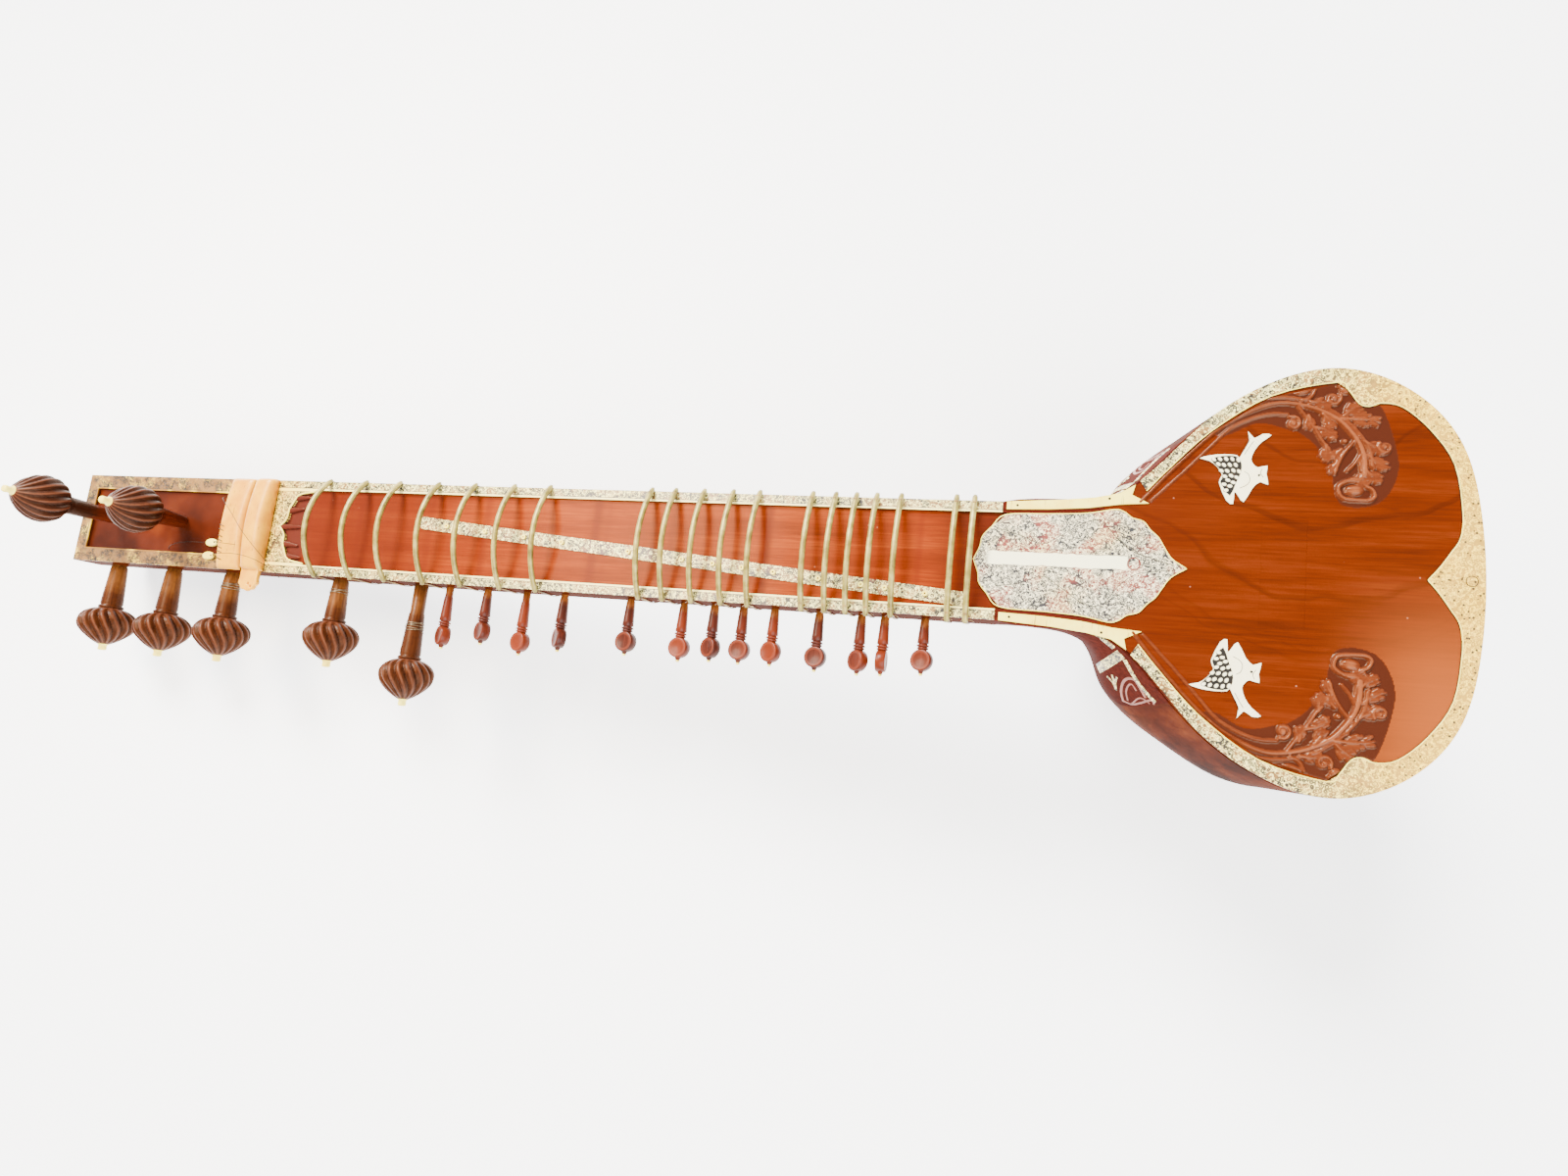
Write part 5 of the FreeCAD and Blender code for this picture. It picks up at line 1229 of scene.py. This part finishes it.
def make_birds():
    inlay("birds", plan_curve(BIRD, 2, closed=True), -SKIN, 0.15, BIRD_BONE, 0.28,
          replaces=("bird_inlays",), sides=(1, -1))
    inlay("wing_ink", plan_curve(WING_PATCH, 2, closed=True), -0.2, 0.24, INK_AND_SHADE, 0.02,
          sides=(1, -1))
    lines, scales = Shape(), Shape()
    for sign in (1, -1):
        for cx, cy in SCALES:
            heading = math.atan2(cy - WING_MIDDLE[1], cx - WING_MIDDLE[0])
            rows = []
            for rise, share in ((0.2, 1.0), (0.5, 0.82), (0.68, 0.45), (0.74, 0.05)):
                ring = []
                for angle in circle(12, sign):
                    u, v = 1.9 * share * math.cos(angle), 1.4 * share * math.sin(angle)
                    ring.append((cx + u * math.cos(heading) - v * math.sin(heading),
                                 sign * (cy + u * math.sin(heading) + v * math.cos(heading)), rise))
                rows.append(ring)
            scales.grid(rows, caps=(False, True))
        lines.disc([(EYE[0] + EYE_RADIUS * math.cos(a), sign * (EYE[1] + EYE_RADIUS * math.sin(a)), 0.2)
                    for a in circle(14, sign)])
        for mark in BIRD_MARKS:
            lines.tube(curve_through([(x, sign * y, 0.14) for x, y in mark], 5), 0.22, sides=5)
    lines.piece("bird_lines", [INK_AND_SHADE], "ivory_sheet")
    scales.piece("bird_scales", [BIRD_BONE], "ivory_sheet")


# Half outlines that carry a border line, and the stems engraved on the joint plate.
RIM_LINE = [
    (-35, 0), (-28, 9), (-21, 20), (-15.5, 30), (-14, 47), (-19, 82), (-34, 107), (-52, 124), (-66, 127),
    (-73, 124.5), (-80, 126.5), (-87, 136.5), (-95, 142.5), (-138, 132), (-178, 104.5), (-207, 74),
    (-221, 57.5),
]
PLATE_LINE = [
    (-190.5, 0), (-201, 7), (-207, 16), (-211, 22.5), (-216.5, 27.5), (-222, 34), (-230, 36.6), (-236, 41),
    (-243, 42.5), (-262, 39), (-290, 37.4), (-322, 35.8), (-332, 26), (-338.5, 18), (-340, 10), (-344, 0),
]
NUT_SHEET_LINE = [(-987, 0), (-981, 7.2), (-979.8, 16.5), (-977, 22.6), (-971.2, 30.8), (-954, 34.2)]
VINES = [
    [(-330.8, 26), (-310.6, 20), (-293.6, 14), (-280.3, 21), (-264.6, 31), (-252.7, 33.5), (-242.7, 24),
     (-231.5, 13), (-214, 6), (-200, 2.5)],
    [(-326, -20), (-308, -17), (-291.9, -11), (-277.7, -19), (-260.9, -30), (-247.6, -29.5), (-236.5, -15),
     (-225.2, -6), (-210, -3), (-199, -1.5)],
]


PINS = [(-314.0, 43.2), (-247.0, 50.6)]
# Rings on the joint plate and at the tail: centre, radius and number of points.
RED_RING, TAIL_RING = (-227.0, 2.0, 0.0, 4.4, 32), (-8.5, 0.6, -0.05, 3.6, 28)


def make_edge_lines():
    """Fine raised borders of the rim and the joint plate with a painted shadow line beside each, the ring
    marks, pins and engraved vine stems.
    """
    pale, dark = Shape(), Shape()
    for sign in (1, -1):
        for outline in (RIM_LINE, PLATE_LINE, NUT_SHEET_LINE):
            path = curve_through([(x, sign * y, 0.0) for x, y in outline], 4)
            pale.tube(path, 0.75 if outline is NUT_SHEET_LINE else 0.42, sides=6)
            # painted shadow: a dark line at face level beside each raised pale border
            shadow = curve_through([(x, sign * y, -SKIN + 0.06) for x, y in outline], 4)
            dark.tube(shadow, 0.62, sides=6)
    for vine in VINES:
        dark.tube(curve_through([(x, y, -0.12) for x, y in vine], 6), 0.32, sides=5)
    for x, y in PINS:
        for sign in (1, -1):
            dark.disc(flat_ring(x, sign * y, 0.36, 1.0, 12))
    red = Shape()
    red.tube(flat_ring(*RED_RING), 0.45, sides=6, closed=True)
    dark.tube(flat_ring(*TAIL_RING), 0.3, sides=6, closed=True)
    pale.piece("border_lines", [BONE_PALE], "ivory_sheet")
    dark.piece("ink_and_shadow_lines", [INK_AND_SHADE], "ivory_sheet")
    red.piece("red_ring", [RED_WAX], "ivory_sheet")


# ---------------------------------------------------------------- inlays on the cowl's side

# Half width and centre line of each strip, as plan points that are carried on to the cowl by rays from one
# point above it.
BAND_STRIPS = [
    (4, [(-231.5, 64.5), (-236, 68), (-241, 72), (-247, 76.5)]),
    (2.4, [(-262, 47), (-253, 49.5), (-245, 54.5), (-237, 60.5)]),
    (1.9, [(-229, 68.5), (-223, 78.5), (-216, 88), (-206, 98), (-196, 107)]),
    (1, [(-233.5, 91), (-236, 86), (-240.5, 81.5)]),
    (1, [(-233.5, 91), (-235.5, 85), (-237, 80)]),
    (1, [(-233.5, 91), (-234.5, 86), (-233.5, 81.5)]),
]
PINK_STRIPS = [
    (1.1, [(-228, 99), (-230, 92), (-229, 85), (-225.5, 82), (-221, 83), (-216.5, 89.5), (-213, 95)]),
    (0.7, [(-225, 98), (-226.5, 92), (-225.5, 87.5), (-223, 86), (-219.5, 90.5)]),
    (0.8, [(-228, 98.5), (-222, 100.5), (-216, 99), (-209, 96.5), (-206, 100.5), (-200, 104)]),
    (0.6, [(-222, 100), (-217, 95.5), (-211, 98), (-207, 103)]),
    (0.6, [(-204, 108), (-199, 107), (-194, 111), (-189, 110.5)]),
]
SIGHT_FROM = (-298.0, 146.0, 556.0)
STRIP_SECTION = [(-1.0, 0.0), (-0.92, 0.3), (-0.4, 0.35), (0.4, 0.35), (0.92, 0.3), (1.0, 0.0)]


def cowl_strips(name, strips, material, tree):
    """Thin strips that follow the side of the cowl, on both shoulders."""
    shape = Shape()
    for sign in (-1, 1):
        eye = Vector((SIGHT_FROM[0], sign * SIGHT_FROM[1], SIGHT_FROM[2]))
        for half, line in strips:
            path = []
            for point in curve_through([(x, sign * y, -5.0) for x, y in line], 4):
                spot, normal, _, _ = tree.ray_cast(eye, (point - eye).normalized())
                if spot is not None:
                    path.append((spot, normal))
            rows = []
            for k, (point, normal) in enumerate(path):
                ahead, back = path[min(k + 1, len(path) - 1)][0], path[max(k - 1, 0)][0]
                side = normal.cross(ahead - back).normalized()
                ring = []
                for share, lift in STRIP_SECTION:
                    near, out, _, _ = tree.find_nearest(point + side * (half * share))
                    ring.append(near + out * lift)
                rows.append(ring)
            if len(rows) > 1:
                shape.grid(rows, wrap=False)
    return shape.piece(name, [material], "ivory_sheet")


def make_cowl_inlays():
    mesh = frame["nodes"]["cowl"].data
    place = FROM_ROW @ frame["nodes"]["cowl"].matrix_world
    tree = BVHTree.FromPolygons([place @ v.co for v in mesh.vertices], [p.vertices[:] for p in mesh.polygons])
    cowl_strips("cowl_bands", BAND_STRIPS, engraved_sheet("band_sheet", 1.2), tree)
    cowl_strips("cowl_scrolls", PINK_STRIPS, bone("pink_inlay", rgb(150, 84, 62), rgb(120, 62, 46)), tree)


# ---------------------------------------------------------------- loose strings and beads

WIRE_ROUTES = [
    [(-1050.5, 26, -2.5), (-1051, 25, 4.5), (-1043, 20.5, 12.5), (-1026, 8, 15.5), (-1008, -10, 17),
     (-991, -26.5, 14), (-979, -39.5, 8.5), (-972, -49.5, 3.5)],
    [(-1113.5, -27, -2.5), (-1108, -25.8, 2.5), (-1096.5, -22.4, 5), (-1083.5, -20.2, 4.2),
     (-1071, -19.1, -0.7), (-1053, -18.6, -0.8), (-1050, -19, 9.6), (-1031.5, -22, 13),
     (-1018.5, -22.3, 11.5)],
    [(-1074.5, -33.6, 0), (-1067.5, -32.4, 1.9), (-1050.5, -31.8, 2.3), (-1048, -31.7, 8.6),
     (-1029, -31, 12.5), (-1013.5, -31.3, 14.5), (-997.5, -33.4, 15), (-985, -38, 10.5), (-975.5, -45.5, 4)],
]
WIRE_LENGTHS = [0.1208, 0.1044, 0.1085]
WIRE = 0.0005


def cord_curve(name, route, diameter, material):
    """A round wire along a smooth spline with the route's points as its control points."""
    data = bpy.data.curves.new(name, "CURVE")
    data.dimensions = "3D"
    data.bevel_depth, data.bevel_resolution, data.resolution_u = diameter / 2, 2, 10
    data.use_fill_caps = True
    spline = data.splines.new("NURBS")
    spline.points.add(len(route) - 1)
    for point, place in zip(spline.points, route):
        point.co = (*row(place), 1.0)
    spline.order_u = 3
    spline.use_endpoint_u = True
    data.materials.append(material)
    return add_object(name, data)


# Half length, half width and half thickness of a bead.
BEAD_LONG, BEAD_WIDE, BEAD_THICK = 6.25, 3.75, 1.7


def bead(name, route, run):
    """A flat oval bead drilled along its length, with a dark disc at its end that paints the shade of the
    hole.
    """
    a, b = Vector(route[run]), Vector(route[run + 1])
    along = (b - a).normalized()
    across = Vector((0, 0, 1)).cross(along).normalized()
    up = along.cross(across)
    centre = (a + b) / 2
    rows = []
    for i in range(17):
        t = math.pi * i / 16
        ring = []
        for angle in circle(28):
            c, s = math.cos(angle), math.sin(angle)
            wide = BEAD_WIDE * math.sin(t) ** 0.8 * math.copysign(abs(c) ** 0.85, c)
            thick = BEAD_THICK * math.sin(t) ** 0.55 * math.copysign(abs(s) ** 0.7, s)
            ring.append(centre + along * (-BEAD_LONG * math.cos(t)) + across * wide + up * thick)
        rows.append(ring)
    shape = Shape()
    shape.grid(rows, 0)
    # painted shade: a dark disc over the mouth of the hole
    hole = centre + along * 4.6 + up * 1.45
    rim = [hole + along * (0.7 * math.cos(a)) + across * (0.7 * math.sin(a)) for a in circle(12)]
    shape.grid([[point + up * h for point in rim] for h in (-0.3, 0.12)], 1, caps=(False, True))
    return shape.piece(name, [BONE_PALE, INK_AND_SHADE], "bone", replaces=("tuning_beads",))


def make_strings():
    beads = [bead("bead_1", WIRE_ROUTES[1], 4), bead("bead_2", WIRE_ROUTES[2], 1)]
    for index, (route, length) in enumerate(zip(WIRE_ROUTES, WIRE_LENGTHS), start=1):
        wire = cord_curve("broken_string_%d" % index, route, WIRE, WIRE_DARK)
        settle(wire, "instrument", ("loose_string_%d" % index,))


# ---------------------------------------------------------------- carried-over nodes

# Points nearer than this are one, in metres, and edges flatter than this many degrees are shaded smooth.
WELD, SMOOTH_BELOW = 2e-5, 32


def smooth_copy(node, material):
    """The node's own mesh with its seams joined, so that it shades as one surface."""
    mesh = frame["nodes"][node].data.copy()
    work = bmesh.new()
    work.from_mesh(mesh)
    bmesh.ops.remove_doubles(work, verts=work.verts, dist=WELD)
    bmesh.ops.dissolve_degenerate(work, edges=work.edges, dist=1e-6)
    work.to_mesh(mesh)
    work.free()
    mesh.materials.clear()
    mesh.materials.append(material)
    obj = add_object(node + "_smooth", mesh)
    mesh.polygons.foreach_set("use_smooth", [True] * len(mesh.polygons))
    mesh.set_sharp_from_angle(angle=math.radians(SMOOTH_BELOW))
    return settle(obj, "instrument", (node,))


def dress(node, material):
    for material_slot in frame["nodes"][node].material_slots:
        material_slot.material = material


WIRE_DARK = steel_wire("wire_dark", (66, 56, 48))
WIRE_PALE = steel_wire("wire_pale", (150, 130, 100))
BONE_PALE = bone("bone_pale", rgb(254, 238, 110), rgb(248, 218, 84))
BONE_PEACH = bone("bone_peach", rgb(232, 164, 3), rgb(212, 138, 2))
# dark ink; it also paints the shadow lines beside the borders and the shade of the beads' holes
INK_AND_SHADE = bone("ink", rgb(28, 24, 19), rgb(18, 15, 12))
RED_WAX = bone("red_wax", rgb(126, 40, 30), rgb(96, 28, 20))
PEG_SIDE = peg_wood("peg_chestnut", "y", rgb(44, 18, 7), rgb(72, 34, 14),
                    (rgb(70, 36, 14), rgb(112, 66, 28)), 0.05)
PEG_FRONT = peg_wood("peg_dark", "z", rgb(34, 14, 7), rgb(54, 25, 13),
                     (rgb(66, 20, 7), rgb(92, 32, 10)), 0.07)
SMALL_PEG = small_peg_wood()
FRET_METAL = fret_metal()
THREAD = thread()
CARVED = carved_wood()
BIRD_BONE = bird_bone()
FACE_WOOD = face_wood()
NECK_BOARD = neck_board_wood()
NECK_WOOD = dark_wood("neck_wood", rgb(44, 12, 4), rgb(84, 34, 14))
COWL_WOOD = dark_wood("cowl_wood", rgb(50, 14, 8), rgb(84, 30, 20))

make_camera()
make_strings()
make_floor_and_light()
dress("soundboard", FACE_WOOD)
dress("fingerboard", NECK_BOARD)
dress("head_panel", NECK_BOARD)
dress("neck_shell", NECK_WOOD)
dress("neck_bindings", engraved_sheet("rail_sheet", 1.0, lines=rail_distance))
dress("face_rim", engraved_sheet("rim_sheet", 0.9))
dress("sympathetic_strip", engraved_sheet("strip_sheet", 0.9, red=0.3))
dress("joint_plate", joint_plate_sheet())
dress("neck_edge_strips", BONE_PALE)
dress("sympathetic_eyelets", BONE_PALE)
dress("tailpiece", BONE_PALE)
smooth_copy("cowl", COWL_WOOD)
smooth_copy("gourd", gourd_skin())
make_pegs()
for place_number, place_x in enumerate(FRET_PLACES, start=1):
    fret(place_number, place_x)
make_nut_and_guide()
make_relief("upper", 1)
make_relief("lower", -1)
make_petals()
make_cowl_inlays()
make_birds()
make_edge_lines()
